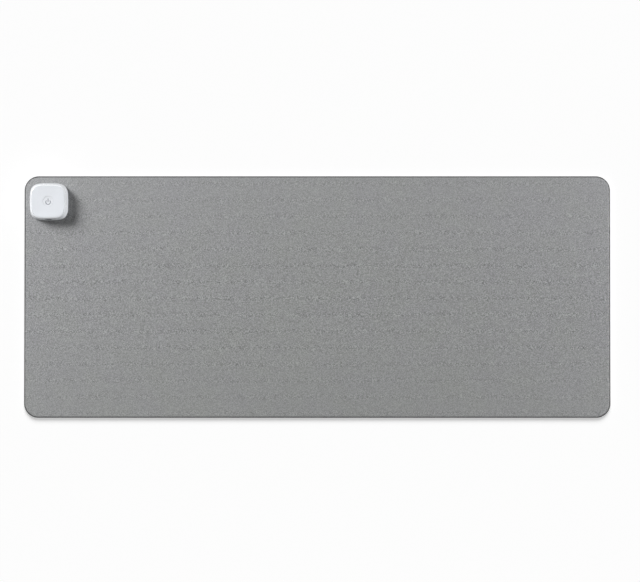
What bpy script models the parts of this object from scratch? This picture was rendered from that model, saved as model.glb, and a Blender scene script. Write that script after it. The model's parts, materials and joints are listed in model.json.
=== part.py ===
"""A heated desk mat: a flat laminated pad with a push-button controller at its rear left corner.

Lengths are in metres, Z is up, and the mat lies on z = 0 with its middle over the origin.
The long side runs along X, and the user sits on the -Y side.
"""

from math import copysign, cos, pi, radians, sin

import bmesh
import bpy
from mathutils import Matrix, Vector

# The mat, seen from above
MAT_LENGTH = 0.800
MAT_DEPTH = 0.330
MAT_CORNER_RADIUS = 0.0195
EDGE_SEAL_WIDTH = 0.0014
EDGE_SEAL_ROUNDING = 0.0009
EDGE_SEAL_LIFT = 0.0003
EDGE_SEAL_DROP = 0.0004

# The layers of the mat, from the desk up
BASE_THICKNESS = 0.0011
REFLECTOR_THICKNESS = 0.0003
FILM_THICKNESS = 0.0002
TRACK_THICKNESS = 0.0002
CUSHION_THICKNESS = 0.0013
LEATHER_THICKNESS = 0.0009
GLUE_LINE = 0.0002

# The heater inside the mat
FILM_MARGIN = 0.008
FILM_CORNER_RADIUS = 0.010
TRACK_MARGIN = 0.004
TRACK_WIDTH = 0.009
TRACK_GAP = 0.0066
TRACK_BEND_RADIUS = 0.0075
TRACK_KEEP_OUT = 0.0065
TERMINAL_GAP = 0.003
TERMINAL_SHIFT = -0.0045
EYELET_FLANGE_RADIUS = 0.0022
EYELET_TUBE_RADIUS = 0.0012
EYELET_BORE_RADIUS = 0.0007
EYELET_FLANGE_THICKNESS = 0.0003

# The controller's housing, whose height follows from what it holds
CONTROLLER_LENGTH = 0.0528
CONTROLLER_DEPTH = 0.0510
CONTROLLER_FROM_LEFT = 0.0336
CONTROLLER_FROM_REAR = 0.0351
SQUIRCLE_POWER = 3.8
SIDE_DRAFT = 0.0024
END_DRAFT = 0.0035
TOP_ROUNDING = 0.0020
FOOT_CHAMFER = 0.0006
WALL_THICKNESS = 0.0018
CEILING_THICKNESS = 0.0014
FLOOR_THICKNESS = 0.0016
PANEL_THICKNESS = 0.0011
PANEL_DISH_DEPTH = 0.0006
PANEL_GAP = 0.0002
RIM_WIDTH = 0.0002
GASKET_THICKNESS = 0.0006
GASKET_INSET = 0.0015
CLEARANCE = 0.0003

# The opening that the leads go up through, and the plate that clamps the mat from below
PASSAGE_MARGIN = 0.0018
PASSAGE_CORNER_RADIUS = 0.002
PLATE_THICKNESS = 0.0012
PLATE_LIFT = 0.0002
PLATE_INSET = 0.0045
PLATE_CORNER_RADIUS = 0.007

# The four screws that hold the housing to the plate
SCREW_INSET_X = 0.0104
SCREW_INSET_Y = 0.0105
SCREW_RADIUS = 0.00125
SCREW_HEAD_RADIUS = 0.0022
SCREW_HEAD_HEIGHT = 0.0009
SCREW_ENGAGEMENT = 0.0063
BOSS_RADIUS = 0.0028

# The push button and the switch under it
BUTTON_RADIUS = 0.0068
BUTTON_GAP = 0.00025
BUTTON_SINK = 0.0003
BUTTON_DISH_DEPTH = 0.0005
BUTTON_EDGE = 0.0003
BUTTON_FLANGE_WIDTH = 0.0014
BUTTON_FLANGE_THICKNESS = 0.0010
BUTTON_TRAVEL = 0.0004
SWITCH_SIDE = 0.0060
SWITCH_HEIGHT = 0.0030
SWITCH_FLOOR = 0.0014
PLUNGER_RADIUS = 0.00175
PLUNGER_RISE = 0.0008

# The circuit board and what is soldered to it
BOARD_THICKNESS = 0.0012
BOARD_WALL_GAP = 0.0020
BOARD_BOSS_GAP = 0.0007
BOARD_CORNER_RADIUS = 0.0015
POST_RADIUS = 0.0022
POST_HEIGHT = 0.0015
POST_INSET = 0.0028
POST_FROM_FRONT = 0.0088
POST_FROM_REAR = 0.0052
BOARD_SCREW_RADIUS = 0.0009
BOARD_SCREW_HEAD_RADIUS = 0.0018
BOARD_SCREW_HEAD_HEIGHT = 0.0009
CHIP_SIDE = 0.0050
CHIP_HEIGHT = 0.0009
TRANSISTOR_LENGTH = 0.0066
TRANSISTOR_DEPTH = 0.0060
TRANSISTOR_HEIGHT = 0.0012
LED_LENGTH = 0.0016
LED_DEPTH = 0.0012
LED_HEIGHT = 0.0007
COMPONENT_GAP = 0.0010
COMPONENT_BEVEL = 0.00025

# The USB-C socket in the front wall
USB_WIDTH = 0.00894
USB_HEIGHT = 0.00326
USB_LENGTH = 0.00735
USB_WALL = 0.0003
USB_RECESS = 0.0006
TONGUE_WIDTH = 0.0066
TONGUE_HEIGHT = 0.0007
TONGUE_SETBACK = 0.0008
TONGUE_ROOT_LENGTH = 0.0018
TONGUE_ROOT_HEIGHT = 0.0020

# The leads and the temperature sensor
LEAD_RADIUS = 0.0007
LEAD_BOW = 0.0008
SENSOR_RADIUS = 0.0009
SENSOR_LENGTH = 0.0030
SENSOR_LEG_RADIUS = 0.00025
SENSOR_LEG_SPACING = 0.0016

# How finely round shapes are divided, and how far cutters run past what they cut
CORNER_STEPS = 8
SQUIRCLE_STEPS = 56
ROUND_STEPS = 20
BUTTON_STEPS = 40
ROUNDING_STEPS = 4
DISH_STEPS = 4
TRACK_BEND_STEPS = 4
LEAD_STEPS = 8
WIRE_RESOLUTION = 2
BEAD_STEPS = 12
CUT_OVERRUN = 0.001
MERGE_DISTANCE = 0.00001
SMOOTH_BELOW = radians(35)

# Heights of the layers above the desk
REFLECTOR_BOTTOM = BASE_THICKNESS + GLUE_LINE
REFLECTOR_TOP = REFLECTOR_BOTTOM + REFLECTOR_THICKNESS
FILM_BOTTOM = REFLECTOR_TOP + GLUE_LINE
FILM_TOP = FILM_BOTTOM + FILM_THICKNESS
TRACK_BOTTOM = FILM_TOP + GLUE_LINE
TRACK_TOP = TRACK_BOTTOM + TRACK_THICKNESS
POCKET_TOP = TRACK_TOP + GLUE_LINE
CUSHION_TOP = POCKET_TOP + CUSHION_THICKNESS
LEATHER_BOTTOM = CUSHION_TOP + GLUE_LINE
LEATHER_TOP = LEATHER_BOTTOM + LEATHER_THICKNESS

# Heights in the controller above the mat's top surface, from the bottom up
PLATE_BOTTOM = PLATE_LIFT - LEATHER_TOP
PLATE_TOP = PLATE_BOTTOM + PLATE_THICKNESS
GASKET_TOP = GLUE_LINE + GASKET_THICKNESS
HOUSING_BOTTOM = GASKET_TOP + GLUE_LINE
FLOOR_TOP = HOUSING_BOTTOM + FLOOR_THICKNESS
FLOOR_MIDDLE = (HOUSING_BOTTOM + FLOOR_TOP) / 2
POST_TOP = FLOOR_TOP + POST_HEIGHT
BOARD_BOTTOM = POST_TOP + CLEARANCE
BOARD_TOP = BOARD_BOTTOM + BOARD_THICKNESS
COMPONENT_BOTTOM = BOARD_TOP + CLEARANCE
USB_MIDDLE = COMPONENT_BOTTOM + USB_HEIGHT / 2
SWITCH_TOP = COMPONENT_BOTTOM + SWITCH_HEIGHT
PLUNGER_TOP = SWITCH_TOP + PLUNGER_RISE
FLANGE_BOTTOM = PLUNGER_TOP + CLEARANCE
FLANGE_TOP = FLANGE_BOTTOM + BUTTON_FLANGE_THICKNESS
CEILING = FLANGE_TOP + CLEARANCE
RECESS_FLOOR = CEILING + CEILING_THICKNESS
HOUSING_TOP = RECESS_FLOOR + GLUE_LINE + PANEL_THICKNESS
WALL_TOP = HOUSING_TOP - TOP_ROUNDING
BOSS_BOTTOM = FLOOR_TOP + CLEARANCE
SCREW_TOP = BOSS_BOTTOM + SCREW_ENGAGEMENT

# Places in plan, from the controller's own middle
HALF_LENGTH = CONTROLLER_LENGTH / 2
HALF_DEPTH = CONTROLLER_DEPTH / 2
SCREW_X = HALF_LENGTH - SCREW_INSET_X
SCREW_Y = HALF_DEPTH - SCREW_INSET_Y
TERMINAL_X = (TRACK_WIDTH + TERMINAL_GAP) / 2
PASSAGE_HALF_DEPTH = EYELET_FLANGE_RADIUS + PASSAGE_MARGIN
SCREW_PLACES = [(x, y) for x in (-SCREW_X, SCREW_X) for y in (-SCREW_Y, SCREW_Y)]
TERMINAL_PLACES = [(-TERMINAL_X, TERMINAL_SHIFT), (TERMINAL_X, TERMINAL_SHIFT)]

# The controller's middle on the mat
CONTROLLER_X = CONTROLLER_FROM_LEFT - MAT_LENGTH / 2
CONTROLLER_Y = MAT_DEPTH / 2 - CONTROLLER_FROM_REAR


def lean_share(height):
    """The share of its draft that the housing's wall has leaned in by at a height."""
    return (height - HOUSING_BOTTOM) / (WALL_TOP - HOUSING_BOTTOM)


# Places on the circuit board
BOARD_HALF_LENGTH = SCREW_X - BOSS_RADIUS - BOARD_BOSS_GAP
BOARD_HALF_DEPTH = HALF_DEPTH - END_DRAFT * lean_share(BOARD_TOP) - WALL_THICKNESS - BOARD_WALL_GAP
POST_X = BOARD_HALF_LENGTH - POST_INSET
FRONT_POST_Y = POST_FROM_FRONT - BOARD_HALF_DEPTH
REAR_POST_Y = BOARD_HALF_DEPTH - POST_FROM_REAR
POST_PLACES = [(x, y) for x in (-POST_X, POST_X) for y in (FRONT_POST_Y, REAR_POST_Y)]
BOARD_SCREW_PLACES = [(-POST_X, FRONT_POST_Y), (POST_X, REAR_POST_Y)]
POWER_PARTS_X = BOARD_HALF_LENGTH / 2
POWER_PARTS_REAR = REAR_POST_Y - BOARD_SCREW_HEAD_RADIUS - COMPONENT_GAP
LED_Y = SWITCH_SIDE / 2 + COMPONENT_GAP + LED_DEPTH / 2
USB_FRONT = USB_RECESS + END_DRAFT * lean_share(USB_MIDDLE) - HALF_DEPTH
USB_REAR = USB_FRONT + USB_LENGTH


# Outlines: lists of (x, y) that run anticlockwise
def arc(centre, radius, start, sweep, steps):
    """Points along an arc, both ends included. Angles are in radians."""
    angles = [start + sweep * i / steps for i in range(steps + 1)]
    return [(centre[0] + radius * cos(a), centre[1] + radius * sin(a)) for a in angles]


def circle(radius, centre=(0, 0), steps=ROUND_STEPS):
    return arc(centre, radius, 0, 2 * pi, steps)[:-1]


def without_repeats(points):
    """A closed outline's points, less each that lies on the one before it."""
    kept = []
    for i, point in enumerate(points):
        if (Vector(point) - Vector(points[i - 1])).length > MERGE_DISTANCE:
            kept.append(point)
    return kept


def rounded_rectangle(length, depth, radius, centre=(0, 0)):
    points = []
    for quarter in range(4):
        side_x = 1 if quarter in (0, 3) else -1
        side_y = 1 if quarter in (0, 1) else -1
        corner_x = centre[0] + side_x * (length / 2 - radius)
        corner_y = centre[1] + side_y * (depth / 2 - radius)
        points += arc((corner_x, corner_y), radius, quarter * pi / 2, pi / 2, CORNER_STEPS)
    return without_repeats(points)


def squircle(half_length, half_depth):
    """A superellipse, between a rectangle and an ellipse."""
    points = []
    for i in range(SQUIRCLE_STEPS):
        c = cos(2 * pi * i / SQUIRCLE_STEPS)
        s = sin(2 * pi * i / SQUIRCLE_STEPS)
        x = copysign(abs(c) ** (2 / SQUIRCLE_POWER), c)
        y = copysign(abs(s) ** (2 / SQUIRCLE_POWER), s)
        points.append((half_length * x, half_depth * y))
    return points


def housing_outline(height, inset=0):
    """The drafted housing's outline at a height above the mat, drawn in by an inset all round."""
    lean = lean_share(height)
    return squircle(HALF_LENGTH - SIDE_DRAFT * lean - inset, HALF_DEPTH - END_DRAFT * lean - inset)


def mat_outline(inset):
    length = MAT_LENGTH - 2 * inset
    depth = MAT_DEPTH - 2 * inset
    return rounded_rectangle(length, depth, MAT_CORNER_RADIUS - inset)


def film_outline(slack):
    inset = EDGE_SEAL_WIDTH + GLUE_LINE + FILM_MARGIN - slack
    length = MAT_LENGTH - 2 * inset
    depth = MAT_DEPTH - 2 * inset
    return rounded_rectangle(length, depth, FILM_CORNER_RADIUS + slack)


def clamp_outline(slack):
    length = CONTROLLER_LENGTH - 2 * (PLATE_INSET - slack)
    depth = CONTROLLER_DEPTH - 2 * (PLATE_INSET - slack)
    return rounded_rectangle(length, depth, PLATE_CORNER_RADIUS + slack)


def passage_outline():
    """The opening round both terminals."""
    length = 2 * (TERMINAL_X + PASSAGE_HALF_DEPTH)
    depth = 2 * PASSAGE_HALF_DEPTH
    return rounded_rectangle(length, depth, PASSAGE_CORNER_RADIUS, (0, TERMINAL_SHIFT))


def screw_holes():
    return [circle(SCREW_RADIUS + CLEARANCE, place_of) for place_of in SCREW_PLACES]


def on_mat(outline):
    """An outline drawn from the controller's middle, moved to its place on the mat."""
    return [(x + CONTROLLER_X, y + CONTROLLER_Y) for x, y in outline]


def rounded_path(corners, radius, steps):
    """A route of straight runs at right angles, with an arc at each corner."""
    points = [Vector(corners[0])]
    for before, corner, after in zip(corners, corners[1:], corners[2:]):
        corner = Vector(corner)
        came = corner - Vector(before)
        goes = Vector(after) - corner
        bend = min(radius, came.length / 2, goes.length / 2)
        came.normalize()
        goes.normalize()
        centre = corner + bend * (goes - came)
        for i in range(steps + 1):
            turn = pi / 2 * i / steps
            points.append(centre + bend * (came * sin(turn) - goes * cos(turn)))
    points.append(Vector(corners[-1]))
    return without_repeats(points)


def band(path, width):
    """The outline of a flat strip of a width along a path."""
    left, right = [], []
    for i, point in enumerate(path):
        ahead = path[min(i + 1, len(path) - 1)]
        behind = path[max(i - 1, 0)]
        along = (ahead - behind).normalized()
        across = Vector((-along.y, along.x)) * width / 2
        left.append(point + across)
        right.append(point - across)
    return [tuple(p) for p in right + left[::-1]]


# Making objects
def clear_scene():
    for obj in list(bpy.data.objects):
        bpy.data.objects.remove(obj)


def collection(name):
    made = bpy.data.collections.new(name)
    bpy.context.scene.collection.children.link(made)
    return made


def finish(name, colour, roughness, metallic=0.0):
    """A Principled material. The colour is linear red, green and blue."""
    made = bpy.data.materials.new(name)
    made.use_nodes = True
    shader = made.node_tree.nodes["Principled BSDF"]
    shader.inputs["Base Color"].default_value = (*colour, 1)
    shader.inputs["Roughness"].default_value = roughness
    shader.inputs["Metallic"].default_value = metallic
    return made


def place(name, data, material=None, parent=None, location=(0, 0, 0)):
    """Puts a mesh or a curve in the scene. Without a material it is a helper shape."""
    obj = bpy.data.objects.new(name, data)
    obj.parent = parent
    obj.location = location
    if material:
        data.materials.append(material)
        PARTS.objects.link(obj)
    else:
        obj.hide_render = True
        obj.display_type = "WIRE"
        HELPERS.objects.link(obj)
    return obj


def outline_curve(name, outlines, thickness):
    """A filled flat curve. The outlines that lie inside the first one are holes."""
    curve = bpy.data.curves.new(name, "CURVE")
    curve.dimensions = "2D"
    curve.fill_mode = "BOTH"
    curve.extrude = thickness / 2
    for outline in outlines:
        spline = curve.splines.new("POLY")
        spline.points.add(len(outline) - 1)
        for point, (x, y) in zip(spline.points, outline):
            point.co = (x, y, 0, 1)
        spline.use_cyclic_u = True
    return curve


def mesh_of(obj):
    """Turns a curve object into a mesh object with its caps welded on."""
    bpy.context.view_layer.update()
    graph = bpy.context.evaluated_depsgraph_get()
    mesh = bpy.data.meshes.new_from_object(obj.evaluated_get(graph))
    work = bmesh.new()
    work.from_mesh(mesh)
    bmesh.ops.remove_doubles(work, verts=work.verts, dist=MERGE_DISTANCE)
    work.to_mesh(mesh)
    work.free()
    name, world = obj.name, obj.matrix_world.copy()
    solid = bpy.data.objects.new(name, mesh)
    for owner in obj.users_collection:
        owner.objects.link(solid)
    solid.parent = obj.parent
    solid.matrix_world = world
    solid.hide_render = obj.hide_render
    solid.display_type = obj.display_type
    bpy.data.objects.remove(obj)
    solid.name = name
    return solid


def plate(name, outlines, bottom, top, material=None, parent=None):
    """A flat plate between two heights."""
    curve = outline_curve(name, outlines, top - bottom)
    return place(name, curve, material, parent, (0, 0, (bottom + top) / 2))


def loft(name, rings, material=None, parent=None, closed=False):
    """A skin over rings of points. A closed one joins its last ring to its first, like a tyre."""
    work = bmesh.new()
    loops = [[work.verts.new(point) for point in ring] for ring in rings]
    pairs = list(zip(loops, loops[1:]))
    if closed:
        pairs.append((loops[-1], loops[0]))
    else:
        work.faces.new(loops[0])
        work.faces.new(loops[-1])
    for lower, upper in pairs:
        for i in range(len(lower)):
            j = (i + 1) % len(lower)
            work.faces.new((lower[i], lower[j], upper[j], upper[i]))
    bmesh.ops.recalc_face_normals(work, faces=work.faces)
    mesh = bpy.data.meshes.new(name)
    work.to_mesh(mesh)
    work.free()
    mesh.shade_smooth()
    mesh.set_sharp_from_angle(angle=SMOOTH_BELOW)
    return place(name, mesh, material, parent)


def turned(name, profile, material=None, parent=None, centre=(0, 0), hollow=False, steps=ROUND_STEPS):
    """A round piece from a profile of (radius, height) that runs down its outer side."""
    mesh = bpy.data.meshes.new(name)
    links = [(i, i + 1) for i in range(len(profile) - 1)]
    if hollow:
        links.append((len(profile) - 1, 0))
    mesh.from_pydata([(radius, 0, height) for radius, height in profile], links, [])
    obj = place(name, mesh, material, parent, (*centre, 0))
    screw = obj.modifiers.new("turn", "SCREW")
    screw.axis = "Z"
    screw.angle = 2 * pi
    screw.steps = screw.render_steps = steps
    screw.use_smooth_shade = True
    screw.use_merge_vertices = True
    screw.merge_threshold = MERGE_DISTANCE
    return obj


def rod(name, radius, bottom, top, material=None, parent=None, centre=(0, 0)):
    profile = [(0, top), (radius, top), (radius, bottom), (0, bottom)]
    return turned(name, profile, material, parent, centre)


def block(name, size, middle, material, parent):
    """A box with eased edges."""
    work = bmesh.new()
    bmesh.ops.create_cube(work, size=1, matrix=Matrix.Diagonal((*size, 1)))
    mesh = bpy.data.meshes.new(name)
    work.to_mesh(mesh)
    work.free()
    obj = place(name, mesh, material, parent, middle)
    edges = obj.modifiers.new("eased edges", "BEVEL")
    edges.width = COMPONENT_BEVEL
    edges.segments = 1
    return obj


def wire(name, points, radius, material, parent):
    """A round wire along a smooth line of points."""
    curve = bpy.data.curves.new(name, "CURVE")
    curve.dimensions = "3D"
    curve.bevel_depth = radius
    curve.bevel_resolution = WIRE_RESOLUTION
    curve.use_fill_caps = True
    spline = curve.splines.new("POLY")
    spline.points.add(len(points) - 1)
    for point, place_of in zip(spline.points, points):
        point.co = (*place_of, 1)
    return place(name, curve, material, parent)


def change(target, other, operation):
    step = target.modifiers.new(other.name, "BOOLEAN")
    step.operation = operation
    step.object = other
    step.solver = "EXACT"


def cut(target, cutter):
    change(target, cutter, "DIFFERENCE")


def join(target, other):
    change(target, other, "UNION")


# The mat
def track_rows():
    """The heights up the mat of the track's straight rows: an even number, evenly spaced."""
    reach = MAT_DEPTH / 2 - EDGE_SEAL_WIDTH - GLUE_LINE - FILM_MARGIN - TRACK_MARGIN - TRACK_WIDTH / 2
    pairs = round((2 * reach / (TRACK_WIDTH + TRACK_GAP) + 1) / 2)
    count = 2 * max(pairs, 1)
    return [reach - 2 * reach * i / (count - 1) for i in range(count)]


def track_route():
    """Rows to and fro over the whole mat, with both ends brought in under the controller."""
    rows = track_rows()
    pitch = rows[0] - rows[1]
    right = rows[0] + (MAT_LENGTH - MAT_DEPTH) / 2
    outward_lane = CONTROLLER_X + HALF_LENGTH + TRACK_KEEP_OUT
    return_lane = CONTROLLER_X - TERMINAL_X
    terminal_y = CONTROLLER_Y + TERMINAL_SHIFT
    short_above = CONTROLLER_Y - HALF_DEPTH - TRACK_WIDTH
    start = CONTROLLER_X + TERMINAL_X - TRACK_WIDTH / 2
    corners = [(start, terminal_y), (outward_lane, terminal_y), (outward_lane, rows[0])]
    for i, (row, following) in enumerate(zip(rows, rows[1:])):
        if i % 2 == 0:
            turn = right
        elif row > short_above:
            turn = outward_lane + pitch
        else:
            turn = return_lane + pitch
        corners += [(turn, row), (turn, following)]
    corners += [(return_lane, rows[-1]), (return_lane, terminal_y + TRACK_WIDTH / 2)]
    return rounded_path(corners, TRACK_BEND_RADIUS, TRACK_BEND_STEPS)


def make_lower_layers(finishes):
    """The non-slip base and the heat reflector, with a window for the clamp plate."""
    outlines = [mat_outline(EDGE_SEAL_WIDTH + GLUE_LINE), on_mat(clamp_outline(CLEARANCE))]
    plate("base_layer", outlines, 0, BASE_THICKNESS, finishes["non_slip_rubber"])
    plate("heat_reflector", outlines, REFLECTOR_BOTTOM, REFLECTOR_TOP, finishes["reflector_felt"])


def make_heater(finishes):
    """The carbon track and the film that carries it."""
    screws = [on_mat(hole) for hole in screw_holes()]
    eyelets = [on_mat(circle(EYELET_TUBE_RADIUS + CLEARANCE, p)) for p in TERMINAL_PLACES]
    film = [film_outline(0), *screws, *eyelets]
    plate("heater_film", film, FILM_BOTTOM, FILM_TOP, finishes["clear_film"])
    track = [band(track_route(), TRACK_WIDTH), *eyelets]
    plate("heating_track", track, TRACK_BOTTOM, TRACK_TOP, finishes["carbon_track"])


def make_upper_layers(finishes):
    """The foam, hollowed from below for the heater, and the leather on top of it."""
    holes = [on_mat(hole) for hole in screw_holes()] + [on_mat(passage_outline())]
    outlines = [mat_outline(EDGE_SEAL_WIDTH + GLUE_LINE), *holes]
    cushion = mesh_of(plate("foam_cushion", outlines, FILM_BOTTOM, CUSHION_TOP, finishes["foam"]))
    low = FILM_BOTTOM - CUT_OVERRUN
    cut(cushion, mesh_of(plate("heater_pocket_cutter", [film_outline(CLEARANCE)], low, POCKET_TOP)))
    plate("top_cover", outlines, LEATHER_BOTTOM, LEATHER_TOP, finishes["grey_leather"])


def make_edge_seal(finishes):
    """The dark seal round the cut edges of the layers, rounded on its outside."""
    bottom = EDGE_SEAL_LIFT
    top = LEATHER_TOP - EDGE_SEAL_DROP
    section = [(EDGE_SEAL_WIDTH, bottom), (EDGE_SEAL_WIDTH, top)]
    for middle, start in ((top - EDGE_SEAL_ROUNDING, 0), (bottom + EDGE_SEAL_ROUNDING, pi / 2)):
        for i in range(ROUNDING_STEPS):
            turn = start + pi / 2 * i / (ROUNDING_STEPS - 1)
            inset = EDGE_SEAL_ROUNDING * (1 - sin(turn))
            section.append((inset, middle + EDGE_SEAL_ROUNDING * cos(turn)))
    rings = [[(x, y, height) for x, y in mat_outline(inset)] for inset, height in section]
    loft("edge_seal", rings, finishes["edge_paint"], closed=True)


# The controller
def ring_at(height, outline):
    return [(x, y, height) for x, y in outline]


def housing_rings():
    """Rings up the chamfered foot, the drafted wall and the rounded top edge."""
    chamfer_top = HOUSING_BOTTOM + FOOT_CHAMFER
    rings = [
        ring_at(HOUSING_BOTTOM, housing_outline(HOUSING_BOTTOM, FOOT_CHAMFER)),
        ring_at(chamfer_top, housing_outline(chamfer_top)),
    ]
    for i in range(ROUNDING_STEPS + 1):
        turn = pi / 2 * i / ROUNDING_STEPS
        height = WALL_TOP + TOP_ROUNDING * sin(turn)
        rings.append(ring_at(height, housing_outline(WALL_TOP, TOP_ROUNDING * (1 - cos(turn)))))
    return rings


def port_cutter(parent):
    """A flat-sided oval opening for the plug, through the front wall."""
    width = USB_WIDTH + 2 * CLEARANCE
    height = USB_HEIGHT + 2 * CLEARANCE
    reach = END_DRAFT + WALL_THICKNESS + CUT_OVERRUN
    curve = outline_curve("port_cutter", [rounded_rectangle(width, height, height / 2)], 2 * reach)
    cutter = place("port_cutter", curve, None, parent, (0, -HALF_DEPTH, USB_MIDDLE))
    cutter.rotation_euler = (pi / 2, 0, 0)
    return mesh_of(cutter)


def make_cover(finishes, parent):
    """The upper housing: a drafted squircle shell with screw bosses hanging from its ceiling."""
    cover = loft("controller_cover", housing_rings(), finishes["white_plastic"], parent)
    low = HOUSING_BOTTOM - CUT_OVERRUN
    high = HOUSING_TOP + CUT_OVERRUN
    hollow = [ring_at(h, housing_outline(h, WALL_THICKNESS)) for h in (low, CEILING)]
    cut(cover, loft("hollow_cutter", hollow, None, parent))
    recess = housing_outline(WALL_TOP, TOP_ROUNDING + RIM_WIDTH)
    cut(cover, mesh_of(plate("panel_recess_cutter", [recess], RECESS_FLOOR, high, None, parent)))
    well = BUTTON_RADIUS + BUTTON_GAP
    cut(cover, rod("button_well_cutter", well, CEILING - CUT_OVERRUN, high, None, parent))
    cut(cover, port_cutter(parent))
    boss_top = (CEILING + RECESS_FLOOR) / 2
    bore = SCREW_RADIUS + CLEARANCE
    for i, place_of in enumerate(SCREW_PLACES, 1):
        boss = rod(f"boss_{i}_shape", BOSS_RADIUS, BOSS_BOTTOM, boss_top, None, parent, place_of)
        join(cover, boss)
        name = f"boss_{i}_bore_cutter"
        cut(cover, rod(name, bore, BOSS_BOTTOM - CUT_OVERRUN, SCREW_TOP + CLEARANCE, None, parent, place_of))


def make_panel(finishes, parent):
    """The face panel let into the top of the housing, dished towards its hole for the button."""
    outline = housing_outline(WALL_TOP, TOP_ROUNDING + RIM_WIDTH + PANEL_GAP)
    hole_radius = BUTTON_RADIUS + BUTTON_GAP
    hole = circle(hole_radius, steps=SQUIRCLE_STEPS)
    bottom = HOUSING_TOP - PANEL_THICKNESS
    hole_share = hole_radius / outline[0][0]
    rings = [ring_at(bottom, hole), ring_at(bottom, outline)]
    for i in range(DISH_STEPS + 1):
        inward = i / DISH_STEPS
        out_share = 1 - (1 - hole_share) * inward
        height = HOUSING_TOP - PANEL_DISH_DEPTH * (1 - out_share**2) / (1 - hole_share**2)
        points = [Vector(edge).lerp(Vector(inner), inward) for edge, inner in zip(outline, hole)]
        rings.append(ring_at(height, points))
    loft("face_panel", rings, finishes["white_gloss"], parent, closed=True)


def make_housing_floor(finishes, parent):
    """The floor of the housing, with the posts that carry the circuit board."""
    outline = housing_outline(FLOOR_TOP, WALL_THICKNESS + CLEARANCE)
    outlines = [outline, *screw_holes(), passage_outline()]
    floor = plate(
        "controller_floor", outlines, HOUSING_BOTTOM, FLOOR_TOP, finishes["white_plastic"], parent
    )
    floor = mesh_of(floor)
    for i, place_of in enumerate(POST_PLACES, 1):
        name = f"post_{i}_shape"
        join(floor, rod(name, POST_RADIUS, FLOOR_MIDDLE, POST_TOP, None, parent, place_of))
    bore = BOARD_SCREW_RADIUS + CLEARANCE
    for i, place_of in enumerate(BOARD_SCREW_PLACES, 1):
        name = f"post_{i}_bore_cutter"
        cut(floor, rod(name, bore, FLOOR_MIDDLE, POST_TOP + CUT_OVERRUN, None, parent, place_of))


def make_gasket(finishes, parent):
    """The foam gasket that seals the housing to the mat."""
    outline = squircle(HALF_LENGTH - GASKET_INSET, HALF_DEPTH - GASKET_INSET)
    outlines = [outline, *screw_holes(), passage_outline()]
    plate("controller_gasket", outlines, GLUE_LINE, GASKET_TOP, finishes["black_foam"], parent)


def make_clamp_plate(finishes, parent):
    """The plate under the mat, countersunk for the four screws."""
    outlines = [clamp_outline(0)]
    clamp = plate("clamp_plate", outlines, PLATE_BOTTOM, PLATE_TOP, finishes["dark_plastic"], parent)
    clamp = mesh_of(clamp)
    wide = SCREW_HEAD_RADIUS + CLEARANCE
    narrow = SCREW_RADIUS + CLEARANCE
    profile = [
        (0, PLATE_TOP + CUT_OVERRUN),
        (narrow, PLATE_TOP + CUT_OVERRUN),
        (narrow, PLATE_BOTTOM + SCREW_HEAD_HEIGHT),
        (wide, PLATE_BOTTOM),
        (wide, PLATE_BOTTOM - CUT_OVERRUN),
        (0, PLATE_BOTTOM - CUT_OVERRUN),
    ]
    for i, place_of in enumerate(SCREW_PLACES, 1):
        cut(clamp, turned(f"countersink_{i}_cutter", profile, None, parent, place_of))


def make_case_screws(finishes, parent):
    """Countersunk screws that come up through the plate, the mat and the floor into the bosses."""
    profile = [
        (0, SCREW_TOP),
        (SCREW_RADIUS / 2, SCREW_TOP),
        (SCREW_RADIUS, SCREW_TOP - SCREW_RADIUS),
        (SCREW_RADIUS, PLATE_BOTTOM + SCREW_HEAD_HEIGHT),
        (SCREW_HEAD_RADIUS, PLATE_BOTTOM),
        (0, PLATE_BOTTOM),
    ]
    for i, place_of in enumerate(SCREW_PLACES, 1):
        turned(f"case_screw_{i}", profile, finishes["steel"], parent, place_of)


def make_button(finishes, parent):
    """The push button: a dished cap, and the flange that keeps it in under the ceiling."""
    top = HOUSING_TOP - PANEL_DISH_DEPTH - BUTTON_SINK
    dish_radius = BUTTON_RADIUS - BUTTON_EDGE
    out_shares = [i / ROUNDING_STEPS for i in range(ROUNDING_STEPS + 1)]
    profile = [(dish_radius * out, top - BUTTON_DISH_DEPTH * (1 - out**2)) for out in out_shares]
    flange = BUTTON_RADIUS + BUTTON_FLANGE_WIDTH
    profile += [
        (BUTTON_RADIUS, top - BUTTON_EDGE),
        (BUTTON_RADIUS, FLANGE_TOP),
        (flange, FLANGE_TOP),
        (flange, FLANGE_BOTTOM),
        (0, FLANGE_BOTTOM),
    ]
    turned("power_button", profile, finishes["white_button"], parent, steps=BUTTON_STEPS)


def make_switch(finishes, parent):
    """The tactile switch's body, open at the top, and the plunger that stands in it."""
    middle = (0, 0, COMPONENT_BOTTOM + SWITCH_HEIGHT / 2)
    size = (SWITCH_SIDE, SWITCH_SIDE, SWITCH_HEIGHT)
    switch = block("tactile_switch", size, middle, finishes["black_plastic"], parent)
    well_bottom = COMPONENT_BOTTOM + SWITCH_FLOOR
    well = PLUNGER_RADIUS + CLEARANCE
    cut(switch, rod("switch_well_cutter", well, well_bottom, SWITCH_TOP + CUT_OVERRUN, None, parent))
    plunger_bottom = well_bottom + BUTTON_TRAVEL + CLEARANCE
    rod("switch_plunger", PLUNGER_RADIUS, plunger_bottom, PLUNGER_TOP, finishes["dark_plastic"], parent)


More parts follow.
